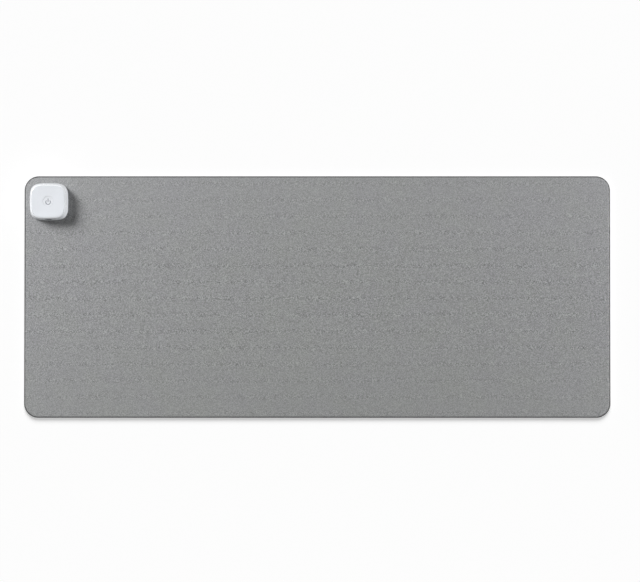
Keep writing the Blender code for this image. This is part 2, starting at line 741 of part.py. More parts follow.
def make_board(finishes, parent):
    """The circuit board and its two screws."""
    outline = rounded_rectangle(2 * BOARD_HALF_LENGTH, 2 * BOARD_HALF_DEPTH, BOARD_CORNER_RADIUS)
    holes = [circle(BOARD_SCREW_RADIUS + CLEARANCE, p) for p in BOARD_SCREW_PLACES]
    plate("circuit_board", [outline, *holes], BOARD_BOTTOM, BOARD_TOP, finishes["green_board"], parent)
    head_top = COMPONENT_BOTTOM + BOARD_SCREW_HEAD_HEIGHT
    profile = [
        (0, head_top),
        (BOARD_SCREW_HEAD_RADIUS, head_top),
        (BOARD_SCREW_HEAD_RADIUS, COMPONENT_BOTTOM),
        (BOARD_SCREW_RADIUS, COMPONENT_BOTTOM),
        (BOARD_SCREW_RADIUS, FLOOR_MIDDLE + CLEARANCE),
        (0, FLOOR_MIDDLE + CLEARANCE),
    ]
    for i, place_of in enumerate(BOARD_SCREW_PLACES, 1):
        turned(f"board_screw_{i}", profile, finishes["steel"], parent, place_of)


def make_components(finishes, parent):
    """The chip and the power transistor behind the switch, and the light beside it."""
    sizes = {
        "control_chip": (CHIP_SIDE, CHIP_SIDE, CHIP_HEIGHT),
        "power_transistor": (TRANSISTOR_LENGTH, TRANSISTOR_DEPTH, TRANSISTOR_HEIGHT),
    }
    for (name, size), x in zip(sizes.items(), (-POWER_PARTS_X, POWER_PARTS_X)):
        middle = (x, POWER_PARTS_REAR - size[1] / 2, COMPONENT_BOTTOM + size[2] / 2)
        block(name, size, middle, finishes["black_plastic"], parent)
    middle = (0, LED_Y, COMPONENT_BOTTOM + LED_HEIGHT / 2)
    block("status_led", (LED_LENGTH, LED_DEPTH, LED_HEIGHT), middle, finishes["clear_lens"], parent)


def make_usb_socket(finishes, parent):
    """The USB-C socket: a drawn steel shell round a plastic tongue."""
    outer = rounded_rectangle(USB_WIDTH, USB_HEIGHT, USB_HEIGHT / 2)
    inner_height = USB_HEIGHT - 2 * USB_WALL
    inner = rounded_rectangle(USB_WIDTH - 2 * USB_WALL, inner_height, inner_height / 2)
    curve = outline_curve("usb_c_shell", [outer, inner], USB_LENGTH)
    middle = (0, (USB_FRONT + USB_REAR) / 2, USB_MIDDLE)
    shell = place("usb_c_shell", curve, finishes["steel"], parent, middle)
    shell.rotation_euler = (pi / 2, 0, 0)
    tip = USB_FRONT + TONGUE_SETBACK
    root = USB_REAR - TONGUE_ROOT_LENGTH
    thin = TONGUE_HEIGHT / 2
    thick = TONGUE_ROOT_HEIGHT / 2
    upper_side = [(USB_REAR, thick), (root, thick), (root, thin), (tip, thin)]
    lower_side = [(y, -height) for y, height in reversed(upper_side)]
    curve = outline_curve("usb_c_tongue", [upper_side + lower_side], TONGUE_WIDTH)
    tongue = place("usb_c_tongue", curve, finishes["black_plastic"], parent, (0, 0, USB_MIDDLE))
    tongue.rotation_euler = (pi / 2, 0, pi / 2)


def make_terminals(finishes, parent):
    """The eyelets on the track's two ends, and the leads from them up to the board."""
    flange_bottom = TRACK_TOP + GLUE_LINE - LEATHER_TOP
    flange_top = flange_bottom + EYELET_FLANGE_THICKNESS
    tube_bottom = FILM_BOTTOM - LEATHER_TOP
    profile = [
        (EYELET_BORE_RADIUS, flange_top),
        (EYELET_FLANGE_RADIUS, flange_top),
        (EYELET_FLANGE_RADIUS, flange_bottom),
        (EYELET_TUBE_RADIUS, flange_bottom),
        (EYELET_TUBE_RADIUS, tube_bottom),
        (EYELET_BORE_RADIUS, tube_bottom),
    ]
    low = flange_top + CLEARANCE
    rise = BOARD_BOTTOM - CLEARANCE - low
    up_shares = [i / LEAD_STEPS for i in range(LEAD_STEPS + 1)]
    for name, lead, (x, y) in zip(("live", "return"), ("red_lead", "black_lead"), TERMINAL_PLACES):
        turned(f"eyelet_{name}", profile, finishes["brass"], parent, (x, y), hollow=True)
        line = [(x + LEAD_BOW * sin(pi * up) ** 2, y, low + rise * up) for up in up_shares]
        wire(f"heater_lead_{name}", line, LEAD_RADIUS, finishes[lead], parent)


def make_sensor(finishes, parent):
    """The temperature sensor: a bead that lies on the heater film, on two legs from the board."""
    bead_height = TRACK_TOP + GLUE_LINE + SENSOR_RADIUS - LEATHER_TOP
    work = bmesh.new()
    size = Matrix.Diagonal((SENSOR_RADIUS, SENSOR_LENGTH / 2, SENSOR_RADIUS, 1))
    bmesh.ops.create_uvsphere(work, u_segments=BEAD_STEPS, v_segments=BEAD_STEPS, radius=1, matrix=size)
    mesh = bpy.data.meshes.new("temperature_sensor")
    work.to_mesh(mesh)
    work.free()
    mesh.shade_smooth()
    middle = (0, TERMINAL_SHIFT, bead_height)
    bead = place("temperature_sensor", mesh, finishes["amber_bead"], parent, middle)
    for i, y in enumerate((-SENSOR_LEG_SPACING / 2, SENSOR_LEG_SPACING / 2), 1):
        place_of = (0, TERMINAL_SHIFT + y)
        top = BOARD_BOTTOM - CLEARANCE
        join(bead, rod(f"leg_{i}_shape", SENSOR_LEG_RADIUS, bead_height, top, None, parent, place_of))


def make_finishes():
    """Every material by name: colour, roughness and, for the metals, the metallic value."""
    table = {
        "grey_leather": ((0.300, 0.303, 0.300), 0.62),
        "edge_paint": ((0.110, 0.112, 0.112), 0.55),
        "non_slip_rubber": ((0.040, 0.041, 0.043), 0.80),
        "reflector_felt": ((0.620, 0.630, 0.640), 0.35),
        "clear_film": ((0.620, 0.480, 0.250), 0.30),
        "carbon_track": ((0.020, 0.020, 0.022), 0.50),
        "foam": ((0.550, 0.540, 0.510), 0.90),
        "white_plastic": ((0.780, 0.800, 0.830), 0.35),
        "white_gloss": ((0.760, 0.785, 0.825), 0.22),
        "white_button": ((0.770, 0.790, 0.825), 0.28),
        "black_foam": ((0.015, 0.015, 0.017), 0.85),
        "dark_plastic": ((0.030, 0.031, 0.033), 0.50),
        "black_plastic": ((0.012, 0.012, 0.013), 0.45),
        "green_board": ((0.020, 0.130, 0.050), 0.40),
        "clear_lens": ((0.850, 0.860, 0.800), 0.10),
        "red_lead": ((0.480, 0.020, 0.015), 0.45),
        "black_lead": ((0.015, 0.015, 0.016), 0.45),
        "amber_bead": ((0.350, 0.120, 0.020), 0.25),
        "steel": ((0.560, 0.570, 0.580), 0.28, 1.0),
        "brass": ((0.700, 0.480, 0.190), 0.30, 1.0),
    }
    return {name: finish(name, *values) for name, values in table.items()}


def make_mat(finishes):
    make_lower_layers(finishes)
    make_heater(finishes)
    make_upper_layers(finishes)
    make_edge_seal(finishes)


def make_controller(finishes):
    """Everything that is placed from the controller's middle, at the mat's top surface."""
    middle = bpy.data.objects.new("controller_middle", None)
    middle.location = (CONTROLLER_X, CONTROLLER_Y, LEATHER_TOP)
    PARTS.objects.link(middle)
    makers = (
        make_clamp_plate,
        make_case_screws,
        make_gasket,
        make_housing_floor,
        make_board,
        make_components,
        make_switch,
        make_usb_socket,
        make_terminals,
        make_sensor,
        make_cover,
        make_panel,
        make_button,
    )
    for maker in makers:
        maker(finishes, middle)


clear_scene()
PARTS = collection("heated_desk_mat")
HELPERS = collection("helper_shapes")
FINISHES = make_finishes()
make_mat(FINISHES)
make_controller(FINISHES)
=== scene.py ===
"""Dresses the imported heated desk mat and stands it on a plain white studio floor.

Lengths are in metres in the part's own frame: the mat lies on z = 0 with its middle over the
origin, its long side runs along X, and its user sits on the -Y side.
"""

import json
import logging
from collections.abc import Callable, Sequence
from dataclasses import dataclass, field
from enum import Enum
from functools import cache
from math import cos, hypot, pi, radians, sin, sqrt

import bmesh
import bpy
from mathutils import Matrix, Vector, noise


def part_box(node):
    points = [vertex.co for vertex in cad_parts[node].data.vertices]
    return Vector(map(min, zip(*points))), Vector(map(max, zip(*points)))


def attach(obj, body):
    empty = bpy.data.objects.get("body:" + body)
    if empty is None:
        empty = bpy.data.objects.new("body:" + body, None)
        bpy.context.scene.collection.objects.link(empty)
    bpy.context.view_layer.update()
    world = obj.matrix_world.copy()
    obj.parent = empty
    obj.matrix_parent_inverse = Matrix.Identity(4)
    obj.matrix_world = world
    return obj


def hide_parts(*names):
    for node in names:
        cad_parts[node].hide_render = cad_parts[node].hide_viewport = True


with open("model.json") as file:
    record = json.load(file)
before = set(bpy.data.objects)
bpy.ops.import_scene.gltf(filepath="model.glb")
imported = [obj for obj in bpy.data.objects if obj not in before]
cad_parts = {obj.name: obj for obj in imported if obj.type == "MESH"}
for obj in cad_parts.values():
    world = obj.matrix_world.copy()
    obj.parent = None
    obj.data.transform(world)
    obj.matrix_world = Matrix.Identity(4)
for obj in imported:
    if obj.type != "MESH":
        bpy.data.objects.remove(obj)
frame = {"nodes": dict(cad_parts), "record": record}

LOG = logging.getLogger("desk_mat")
CASE_SCREWS = tuple(f"case_screw_{number}" for number in range(1, 5))
SCREW_BORE = 0.00155
# Points nearer than WELD are merged, so a ring of radius POLE closes a pole. A cutter stands
# CUT_OVERRUN proud of what it cuts.
WELD = 1e-6
POLE = WELD / 4
CUT_OVERRUN = 0.001
FULL_TURN = 2 * pi
QUARTER_TURN = pi / 2

Colour = tuple[float, float, float]
Place = tuple[float, float]
Span = tuple[float, float]
Spot = tuple[float, float, float]
Outline = list[Place]
Ring = list[Spot]
Edges = Sequence[tuple[int, int]]
Relief = Callable[[float, float], float]
Piece = bpy.types.Object
Socket = bpy.types.NodeSocket


class Body(Enum):
    """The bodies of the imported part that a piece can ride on."""

    MAT = "mat"
    BUTTON = "button"


class Drive(Enum):
    """The recesses that a screw head can have: the number of slots that cross."""

    SLOTTED = 1
    CROSS = 2


class Grain(Enum):
    """How a moulded surface is textured: the size and depth of its grain in metres."""

    POLISHED = (0.0006, 0.0000008)
    SATIN = (0.0004, 0.000004)
    SPARK_ERODED = (0.0005, 0.000012)


# Node trees
class Graph:
    """A node tree with short ways to add nodes and wire them."""

    def __init__(self, tree: bpy.types.NodeTree) -> None:
        """Wraps a tree."""
        self.tree = tree

    def add(self, kind: str, inputs: dict | None = None, **settings: object) -> bpy.types.Node:
        """Adds a node.

        Args:
            kind: The node's type name.
            inputs: Values or sockets by input name or number.
            settings: Properties of the node.

        Returns:
            The new node.
        """
        node = self.tree.nodes.new(kind)
        for name, value in settings.items():
            setattr(node, name, value)
        for key, value in (inputs or {}).items():
            self.feed(node.inputs[key], value)
        return node

    def wire(self, kind: str, inputs: dict | None = None, **settings: object) -> Socket:
        """Adds a node in the same way, and returns its first output."""
        return self.add(kind, inputs, **settings).outputs[0]

    def feed(self, target: Socket, value: object) -> None:
        """Wires a socket to an input, or writes a plain value on it.

        Args:
            target: The input.
            value: The socket or the value.
        """
        if isinstance(value, Socket):
            self.tree.links.new(value, target)
        else:
            target.default_value = value

    def calc(self, operation: str, *values: object) -> Socket:
        """A maths node on numbers or sockets."""
        return self.wire("ShaderNodeMath", dict(enumerate(values)), operation=operation)


class Shading(Graph):
    """A material under construction: patterns in Object coordinates feed its Principled shader."""

    usual = (0.3, 0.7)

    def __init__(self, name: str) -> None:
        """Starts a material.

        Args:
            name: The material's name.
        """
        self.material = bpy.data.materials.new(name)
        self.material.use_nodes = True
        super().__init__(self.material.node_tree)
        self.shader = self.tree.nodes["Principled BSDF"]
        self.place = self.add("ShaderNodeTexCoord").outputs["Object"]

    def set(self, **values: object) -> None:
        """Feeds the shader's inputs, named with underscores for spaces."""
        for name, value in values.items():
            self.feed(self.shader.inputs[name.replace("_", " ")], value)

    def stretched(self, scale: Sequence[float]) -> Socket:
        """Object coordinates, scaled by one number for each axis."""
        return self.wire("ShaderNodeMapping", {"Vector": self.place, "Scale": scale})

    def noise(self, size: float, detail: float = 2.0, at: Socket | None = None) -> Socket:
        """Cloudy noise from 0 to 1.

        Args:
            size: The width of its largest features.
            detail: How many finer layers it has.
            at: The coordinates, if not the piece's own.

        Returns:
            The noise's value.
        """
        inputs = {"Vector": at or self.place, "Scale": 1 / size, "Detail": detail}
        return self.wire("ShaderNodeTexNoise", inputs)

    def clouds(self, size: float, to: Span, detail: float = 2.0) -> Socket:
        """Noise whose usual values are carried over to another range."""
        return self.remap(self.noise(size, detail), self.usual, to)

    def cells(self, size: float) -> Socket:
        """The distance to the nearest of scattered points, as a share of their spacing."""
        inputs = {"Vector": self.place, "Scale": 1 / size}
        return self.add("ShaderNodeTexVoronoi", inputs).outputs["Distance"]

    def remap(self, value: Socket, span: Span, to: Span) -> Socket:
        """A value's range carried over to another range, with its ends held."""
        return self.wire("ShaderNodeMapRange", dict(enumerate([value, *span, *to])), clamp=True)

    def blend(self, share: Socket, first: Colour, second: Colour) -> Socket:
        """A mix of two colours.

        Args:
            share: How much of the second colour there is.
            first: One colour.
            second: The other.

        Returns:
            The mixed colour.
        """
        node = self.add("ShaderNodeMix", {"Factor": share}, data_type="RGBA")
        for key, colour in (("A", first), ("B", second)):
            target = next(s for s in node.inputs if s.name == key and s.type == "RGBA")
            self.feed(target, (*colour, 1))
        return next(s for s in node.outputs if s.type == "RGBA")

    def scaled(self, colour: Colour | Socket, amount: Socket) -> Socket:
        """A colour times a number."""
        return self.wire("ShaderNodeVectorMath", {0: colour, "Scale": amount}, operation="SCALE")

    def bump(self, height: Socket, depth: float, under: Socket | None = None) -> Socket:
        """A surface relief.

        Args:
            height: The relief, from 0 to 1.
            depth: The height difference between 0 and 1.
            under: A coarser relief that this one adds to.

        Returns:
            The normal.
        """
        coarser = {"Normal": under} if under else {}
        return self.wire("ShaderNodeBump", {"Height": height, "Distance": depth, **coarser})


class Shape(Graph):
    """A Geometry Nodes tree with named inputs for its sizes and its finish."""

    kinds = {float: "Float", int: "Int", Piece: "Object", bpy.types.Material: "Material"}

    def __init__(self, name: str, look: "Finish", **sizes: object) -> None:
        """Starts a tree.

        Args:
            name: The tree's name.
            look: The finish that its result gets.
            sizes: Each other input's name with its value: a number, a count or an object.
        """
        super().__init__(bpy.data.node_groups.new(name, "GeometryNodeTree"))
        face = self.tree.interface
        for way in ("INPUT", "OUTPUT"):
            face.new_socket("Geometry", in_out=way, socket_type="NodeSocketGeometry")
        self.values: dict[str, object] = {}
        for label, value in {**sizes, "Finish": look.build()}.items():
            kind = next(word for made, word in self.kinds.items() if isinstance(value, made))
            socket = face.new_socket(label, in_out="INPUT", socket_type="NodeSocket" + kind)
            self.values[socket.identifier] = value
        self.given = self.add("NodeGroupInput").outputs

    def form(self, label: str) -> Socket:
        """The shape of the object that an input names."""
        info = self.add("GeometryNodeObjectInfo", {"Object": self.given[label]})
        return info.outputs["Geometry"]

    def copied(self, form: Socket, points: Socket | None = None, **more: Socket) -> Socket:
        """A form at each point, which is a point of the carrier if no others are given."""
        inputs = {"Points": points or self.given["Geometry"], "Instance": form, **more}
        return self.wire("GeometryNodeInstanceOnPoints", inputs)

    def oblong(self, width: str, height: str) -> Socket:
        """A rectangle whose sides are two of the inputs."""
        sides = {"Width": self.given[width], "Height": self.given[height]}
        return self.wire("GeometryNodeCurvePrimitiveQuadrilateral", sides)

    def swept(self, section: Socket, upright: bool = True) -> Socket:
        """A section swept along the carrier's edges, with its open ends closed.

        Args:
            section: The curve that is swept.
            upright: Whether its height stays parallel to Z.

        Returns:
            The skin.
        """
        line = self.wire("GeometryNodeMeshToCurve", {"Mesh": self.given["Geometry"]})
        if upright:
            line = self.wire("GeometryNodeSetCurveNormal", {"Curve": line}, mode="Z_UP")
        ends = {"Curve": line, "Profile Curve": section, "Fill Caps": True}
        return self.wire("GeometryNodeCurveToMesh", ends)

    def run(self, name: str, result: Socket, points: Ring, edges: Edges = ()) -> Piece:
        """Ends the tree and runs it on a carrier, then removes the forms that it copied.

        Args:
            name: The piece's name.
            result: The tree's geometry.
            points: The carrier's points.
            edges: The pairs of points that the carrier's edges join.

        Returns:
            The piece as a plain mesh, with no modifier.
        """
        real = self.wire("GeometryNodeRealizeInstances", {"Geometry": result})
        painted = {"Geometry": real, "Material": self.given["Finish"]}
        self.add("NodeGroupOutput", {0: self.wire("GeometryNodeSetMaterial", painted)})
        carrier = show(name + "_carrier", bpy.data.meshes.new(name + "_carrier"))
        carrier.data.from_pydata(points, edges, [])
        modifier = carrier.modifiers.new(self.tree.name, "NODES")
        modifier.node_group = self.tree
        for identifier, value in self.values.items():
            modifier[identifier] = value
        piece = settle(carrier, name)
        for value in self.values.values():
            if isinstance(value, Piece):
                bpy.data.objects.remove(value)
        return piece


# Outlines
def rounded_rectangle(half: Place, radius: float, steps: int, centre: Place = (0, 0)) -> Outline:
    """A rectangle with round corners, anticlockwise.

    Args:
        half: Half its length and half its depth.
        radius: Its corners' radius.
        steps: How many steps a corner has.
        centre: Its middle.

    Returns:
        The outline.
    """
    points: Outline = []
    for quarter in range(4):
        side_x = 1 if quarter in (0, 3) else -1
        side_y = 1 if quarter in (0, 1) else -1
        for step in range(steps + 1):
            turn = (quarter + step / steps) * QUARTER_TURN
            x = centre[0] + side_x * (half[0] - radius) + radius * cos(turn)
            y = centre[1] + side_y * (half[1] - radius) + radius * sin(turn)
            if not points or hypot(x - points[-1][0], y - points[-1][1]) > WELD:
                points.append((x, y))
    if hypot(points[0][0] - points[-1][0], points[0][1] - points[-1][1]) < WELD:
        points.pop()
    return points


def squircle(half: Place, power: float, steps: int) -> Outline:
    """A superellipse with a point every equal angle seen from its middle.

    Args:
        half: Half its length and half its depth.
        power: How square it is: 2 is an ellipse.
        steps: How many points it has.

    Returns:
        The outline.
    """
    points: Outline = []
    for step in range(steps):
        c, s = cos(FULL_TURN * step / steps), sin(FULL_TURN * step / steps)
        reach = (abs(c / half[0]) ** power + abs(s / half[1]) ** power) ** (-1 / power)
        points.append((reach * c, reach * s))
    return points


def circle(radius: float, steps: int, centre: Place = (0, 0)) -> Outline:
    """A circle, anticlockwise."""
    turns = [FULL_TURN * step / steps for step in range(steps)]
    return [(centre[0] + radius * cos(turn), centre[1] + radius * sin(turn)) for turn in turns]


def oval(half: Place, steps: int, centre: Place = (0, 0)) -> Outline:
    """A slot: a rectangle whose ends are half circles."""
    return rounded_rectangle(half, half[1] - WELD, steps, centre)


def arc(centre: Place, radius: float, start: float, end: float, steps: int) -> Outline:
    """An arc in section, as distances outwards and heights.

    Args:
        centre: The arc's centre.
        radius: Its radius.
        start: The angle that it starts at, in degrees from outwards.
        end: The angle that it ends at.
        steps: How many steps it has.

    Returns:
        Its points.
    """
    turns = [radians(start + (end - start) * i / steps) for i in range(steps + 1)]
    return [(centre[0] + radius * cos(turn), centre[1] + radius * sin(turn)) for turn in turns]


def eased(radius: float, steps: int) -> Outline:
    """How far in and how far down a rounded edge is, at each step from its side to its top."""
    turns = [QUARTER_TURN * i / steps for i in range(steps + 1)]
    return [(radius * (1 - cos(turn)), radius * (1 - sin(turn))) for turn in turns]


def raised(outline: Outline, height: float, centre: Place = (0, 0)) -> Ring:
    """An outline as a ring of points at a height, moved by a centre."""
    return [(x + centre[0], y + centre[1], height) for x, y in outline]


def upright(outline: Outline, y: float) -> Ring:
    """An outline as a ring of points that stands across Y."""
    return [(x, y, z) for x, z in outline]


def chain(count: int, start: int = 0) -> list[tuple[int, int]]:
    """The edges that join a row of points."""
    return [(i, i + 1) for i in range(start, start + count - 1)]


# Meshes
def show(name: str, data: bpy.types.ID) -> Piece:
    """Puts a mesh, a curve, a light or a camera in the scene.

    Args:
        name: The new object's name.
        data: What it shows.

    Returns:
        The object.
    """
    piece = bpy.data.objects.new(name, data)
    bpy.context.scene.collection.objects.link(piece)
    return piece


def settle(source: Piece, name: str | None = None) -> Piece:
    """Applies an object's modifiers and place to its mesh.

    Args:
        source: The object, which is removed.
        name: The new object's name, if not the old one's.

    Returns:
        The new object, at the origin.
    """
    bpy.context.view_layer.update()
    graph = bpy.context.evaluated_depsgraph_get()
    mesh = bpy.data.meshes.new_from_object(source.evaluated_get(graph), depsgraph=graph)
    mesh.transform(source.matrix_world)
    name = name or source.name
    bpy.data.objects.remove(source)
    mesh.name = name
    return show(name, mesh)


def facing_out(piece: Piece) -> Piece:
    """Merges a piece's doubled points and turns its faces outwards.

    Args:
        piece: The piece.

    Returns:
        The same piece.
    """
    work = bmesh.new()
    work.from_mesh(piece.data)
    bmesh.ops.remove_doubles(work, verts=work.verts, dist=WELD)
    bmesh.ops.recalc_face_normals(work, faces=work.faces)
    work.to_mesh(piece.data)
    work.free()
    return piece


def solid(name: str, points: Ring, faces: list[list[int]]) -> Piece:
    """A piece from its points and faces.

    Args:
        name: The piece's name.
        points: Its points.
        faces: The numbers of each face's points.

    Returns:
        The piece.
    """
    piece = show(name, bpy.data.meshes.new(name))
    piece.data.from_pydata(points, [], faces)
    return facing_out(piece)


def skin(name: str, rings: Sequence[Ring], loop: bool = False) -> Piece:
    """A closed skin over rings of points.

    Args:
        name: The piece's name.
        rings: Rings with equal numbers of points.
        loop: Whether the last ring joins the first, as on a tyre. Otherwise both ends are capped.

    Returns:
        The piece.
    """
    count = len(rings[0])
    points = [point for ring in rings for point in ring]
    faces: list[list[int]] = []
    for span in range(len(rings) if loop else len(rings) - 1):
        low, high = span * count, (span + 1) % len(rings) * count
        for i in range(count):
            j = (i + 1) % count
            faces.append([low + i, low + j, high + j, high + i])
    if not loop:
        faces.append(list(range(count)))
        faces.append([len(points) - 1 - i for i in range(count)])
    return solid(name, points, faces)


def turned(name: str, profile: Outline, steps: int, centre: Place = (0, 0)) -> Piece:
    """A round piece from a profile of radius and height, whose ends lie on its axis."""
    rings = [raised(circle(max(radius, POLE), steps), height, centre) for radius, height in profile]
    return skin(name, rings)


def slab(name: str, outline: Outline, bottom: float, top: float) -> Piece:
    """A flat plate.

    Args:
        name: The piece's name.
        outline: Its outline.
        bottom: The height of its underside.
        top: The height of its upper side.

    Returns:
        The piece.
    """
    curve = bpy.data.curves.new(name, "CURVE")
    curve.dimensions = "2D"
    curve.fill_mode = "BOTH"
    curve.extrude = (top - bottom) / 2
    spline = curve.splines.new("POLY")
    spline.points.add(len(outline) - 1)
    for point, (x, y) in zip(spline.points, outline):
        point.co = (x, y, 0, 1)
    spline.use_cyclic_u = True
    piece = show(name, curve)
    piece.location.z = (bottom + top) / 2
    return facing_out(settle(piece))


def through(outline: Outline, low: float, high: float) -> Piece:
    """A cutter that goes right through what lies between two heights."""
    return slab("cutter", outline, low - CUT_OVERRUN, high + CUT_OVERRUN)


def carve(piece: Piece, take: Sequence[Piece], add: Sequence[Piece] = ()) -> Piece:
    """Joins shapes to a piece, then cuts others out of it, and removes them all.

    Args:
        piece: The piece to work on.
        take: The shapes that are cut out.
        add: The shapes that are joined.

    Returns:
        The finished piece.
    """
    for operation, shapes in (("UNION", add), ("DIFFERENCE", take)):
        for other in shapes:
            step = piece.modifiers.new(other.name, "BOOLEAN")
            step.operation = operation
            step.object = other
            step.solver = "MANIFOLD"
    piece = settle(piece)
    for other in (*add, *take):
        bpy.data.objects.remove(other)
    return piece


@dataclass(frozen=True)
class Box:
    """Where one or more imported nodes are, as their lowest and highest corners."""

    low: Vector
    high: Vector

    @classmethod
    @cache
    def of(cls, *nodes: str) -> "Box":
        """The box round one or more nodes.

        Args:
            nodes: The nodes' names.

        Returns:
            The box.
        """
        corners = [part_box(node) for node in nodes]
        low = Vector(min(c[0][axis] for c in corners) for axis in range(3))
        high = Vector(max(c[1][axis] for c in corners) for axis in range(3))
        return cls(low, high)

    @property
    def middle(self) -> Vector:
        """The middle of the box."""
        return (self.low + self.high) / 2

    @property
    def half(self) -> Vector:
        """Half the box's length, depth and height."""
        return (self.high - self.low) / 2

    @property
    def plan(self) -> Place:
        """The middle seen from above."""
        return (self.middle.x, self.middle.y)

    @property
    def height(self) -> float:
        """The whole height of the box."""
        return self.high.z - self.low.z

    def drawn_in(self, inset: float) -> Place:
        """Half the box's length and depth, less an inset."""
        return (self.half.x - inset, self.half.y - inset)


# Finishes
COLOURS = {row["slot"]: tuple(row["base_color"]) for row in frame["record"]["materials"]}


@dataclass(frozen=True)
class Finish:
    """A recipe for a material, which takes its colour from the record's slot of the same name."""

    slot: str
    roughness: float

    @property
    def colour(self) -> Colour:
        """The slot's linear colour."""
        return COLOURS[self.slot]

    @property
    def title(self) -> str:
        """The material's name."""
        return self.slot + "_finish"

    @cache
    def build(self) -> bpy.types.Material:
        """Makes the material, once for each recipe.

        Returns:
            The material.
        """
        shading = Shading(self.title)
        self.dress(shading)
        return shading.material

    def dress(self, shading: Shading) -> None:
        """Wires the material's patterns. Each finish has its own."""
        raise NotImplementedError

    def about(self, less: float, more: float) -> Span:
        """A range of roughness from a little less to a little more than the finish's own."""
        return (self.roughness - less, self.roughness + more)

    def paler(self, gain: float, lift: float = 0.01) -> Colour:
        """The colour times a gain, and lifted a little off black."""
        return tuple(gain * channel + lift for channel in self.colour)


@dataclass(frozen=True)
class Leatherette(Finish):
    """Fine-grained coated leather, embossed by a roller that bites deeper once a turn."""

    pebble: float = 0.0007
    pebble_reach: float = 0.75
    crease: float = 0.0042
    relief: float = 0.000035
    softness: float = 0.7
    colour_grain: float = 0.41
    sheen: float = 0.35
    band_pitch: float = 0.0224
    band_start: float = 0.1324
    band_from: float = 0.35
    band_gain: float = 0.60
    faint_span: Span = (0.030, 0.165)
    faintest: float = 0.62
    blotch: float = 0.045
    blotch_share: float = 0.5
    cool_span: Span = (0.05, 0.4)
    cool_shares: Span = (0.1, 0.6)
    hue_drift: float = 0.016

    def dress(self, shading: Shading) -> None:
        """Pebbled grain in colour and relief, stronger in bands, over soft clouds of hue.

        Args:
            shading: The material.
        """
        across, along, _ = shading.add("ShaderNodeSeparateXYZ", {0: shading.place}).outputs
        strength = self.bite(shading, along)
        pebbles = {"Vector": shading.place, "Scale": 1 / self.pebble, "Smoothness": self.softness}
        cells = shading.add("ShaderNodeTexVoronoi", pebbles, feature="SMOOTH_F1").outputs
        shade = shading.wire("ShaderNodeSeparateColor", {0: cells["Color"]})
        spread = shading.calc("MULTIPLY", shading.calc("SUBTRACT", shade, 0.5), strength)
        grain = shading.calc("MULTIPLY_ADD", spread, 2 * self.colour_grain, 1.0)
        hues = self.hues(shading, across, along)
        shading.set(Base_Color=shading.scaled(hues, grain), Roughness=self.roughness)
        domes = shading.remap(cells["Distance"], (0, self.pebble_reach), (1, 0))
        creases = shading.bump(shading.noise(self.crease, detail=3), self.relief)
        normal = shading.bump(shading.calc("MULTIPLY", domes, strength), self.relief, creases)
        shading.set(Normal=normal, Specular_IOR_Level=self.sheen)

    def bite(self, shading: Shading, along: Socket) -> Socket:
        """How hard the roller bites: more in a band once a turn, less towards the long edges.

        Args:
            shading: The material.
            along: The place along the roll.

        Returns:
            The grain's strength.
        """
        rolled = shading.calc("SUBTRACT", along, self.band_start)
        wave = shading.calc("COSINE", shading.calc("MULTIPLY", rolled, FULL_TURN / self.band_pitch))
        band = shading.remap(wave, (self.band_from, 1.0), (1.0, 1.0 + self.band_gain))
        fade = shading.remap(shading.calc("ABSOLUTE", along), self.faint_span, (1.0, self.faintest))
        return shading.calc("MULTIPLY", band, fade)

    def hues(self, shading: Shading, across: Socket, along: Socket) -> Socket:
        """Clouds of a greener and a bluer grey, bluer towards the ends and the rear.

        Args:
            shading: The material.
            across: The place along X.
            along: The place along Y.

        Returns:
            The colour.
        """
        red, green, blue = self.colour
        drift = 1 + self.hue_drift
        clouds = shading.clouds(self.blotch, (0, self.blotch_share), detail=1)
        place = shading.calc("ADD", shading.calc("ABSOLUTE", across), along)
        cool = shading.calc("ADD", clouds, shading.remap(place, self.cool_span, self.cool_shares))
        return shading.blend(cool, (red, green * drift, blue), (red, green, blue * drift**2))


@dataclass(frozen=True)
class Moulded(Finish):
    """Moulded plastic with the grain that its mould's wall was given."""

    grain: Grain = Grain.SATIN
    coat: float = 0.0
    coat_roughness: float = 0.12
    flow: float = 0.018
    flow_tones: Span = (0.985, 1.01)
    gloss: float = 0.006
    gloss_spread: float = 0.08

    def dress(self, shading: Shading) -> None:
        """Faint flow marks in the colour, an uneven gloss and the mould's grain.

        Args:
            shading: The material.
        """
        size, depth = self.grain.value
        flow = shading.clouds(self.flow, self.flow_tones)
        spread = self.gloss_spread * self.roughness
        shading.set(Base_Color=shading.scaled(self.colour, flow))
        shading.set(Roughness=shading.clouds(self.gloss, self.about(spread, spread), detail=3))
        shading.set(Normal=shading.bump(shading.noise(size), depth))
        shading.set(Coat_Weight=self.coat, Coat_Roughness=self.coat_roughness)


@dataclass(frozen=True)
class SealedEdge(Finish):
    """Edge paint that has been rolled on, with the slight waves that it dries with."""

    wave: float = 0.009
    wave_tones: Span = (0.86, 1.12)
    swell: float = 0.004
    swell_height: float = 0.00006
    stipple: float = 0.0007
    stipple_height: float = 0.00001
    gloss_spread: float = 0.08
    sheen: float = 0.4

    def dress(self, shading: Shading) -> None:
        """Long shallow waves and a finer stipple.

        Args:
            shading: The material.
        """
        tone = shading.clouds(self.wave, self.wave_tones)
        shading.set(Base_Color=shading.scaled(self.colour, tone), Specular_IOR_Level=self.sheen)
        stipple = shading.noise(self.stipple)
        gloss = self.about(self.gloss_spread, self.gloss_spread)
        coarse = shading.bump(shading.noise(self.swell, detail=1), self.swell_height)
        shading.set(Roughness=shading.remap(stipple, shading.usual, gloss))
        shading.set(Normal=shading.bump(stipple, self.stipple_height, coarse))


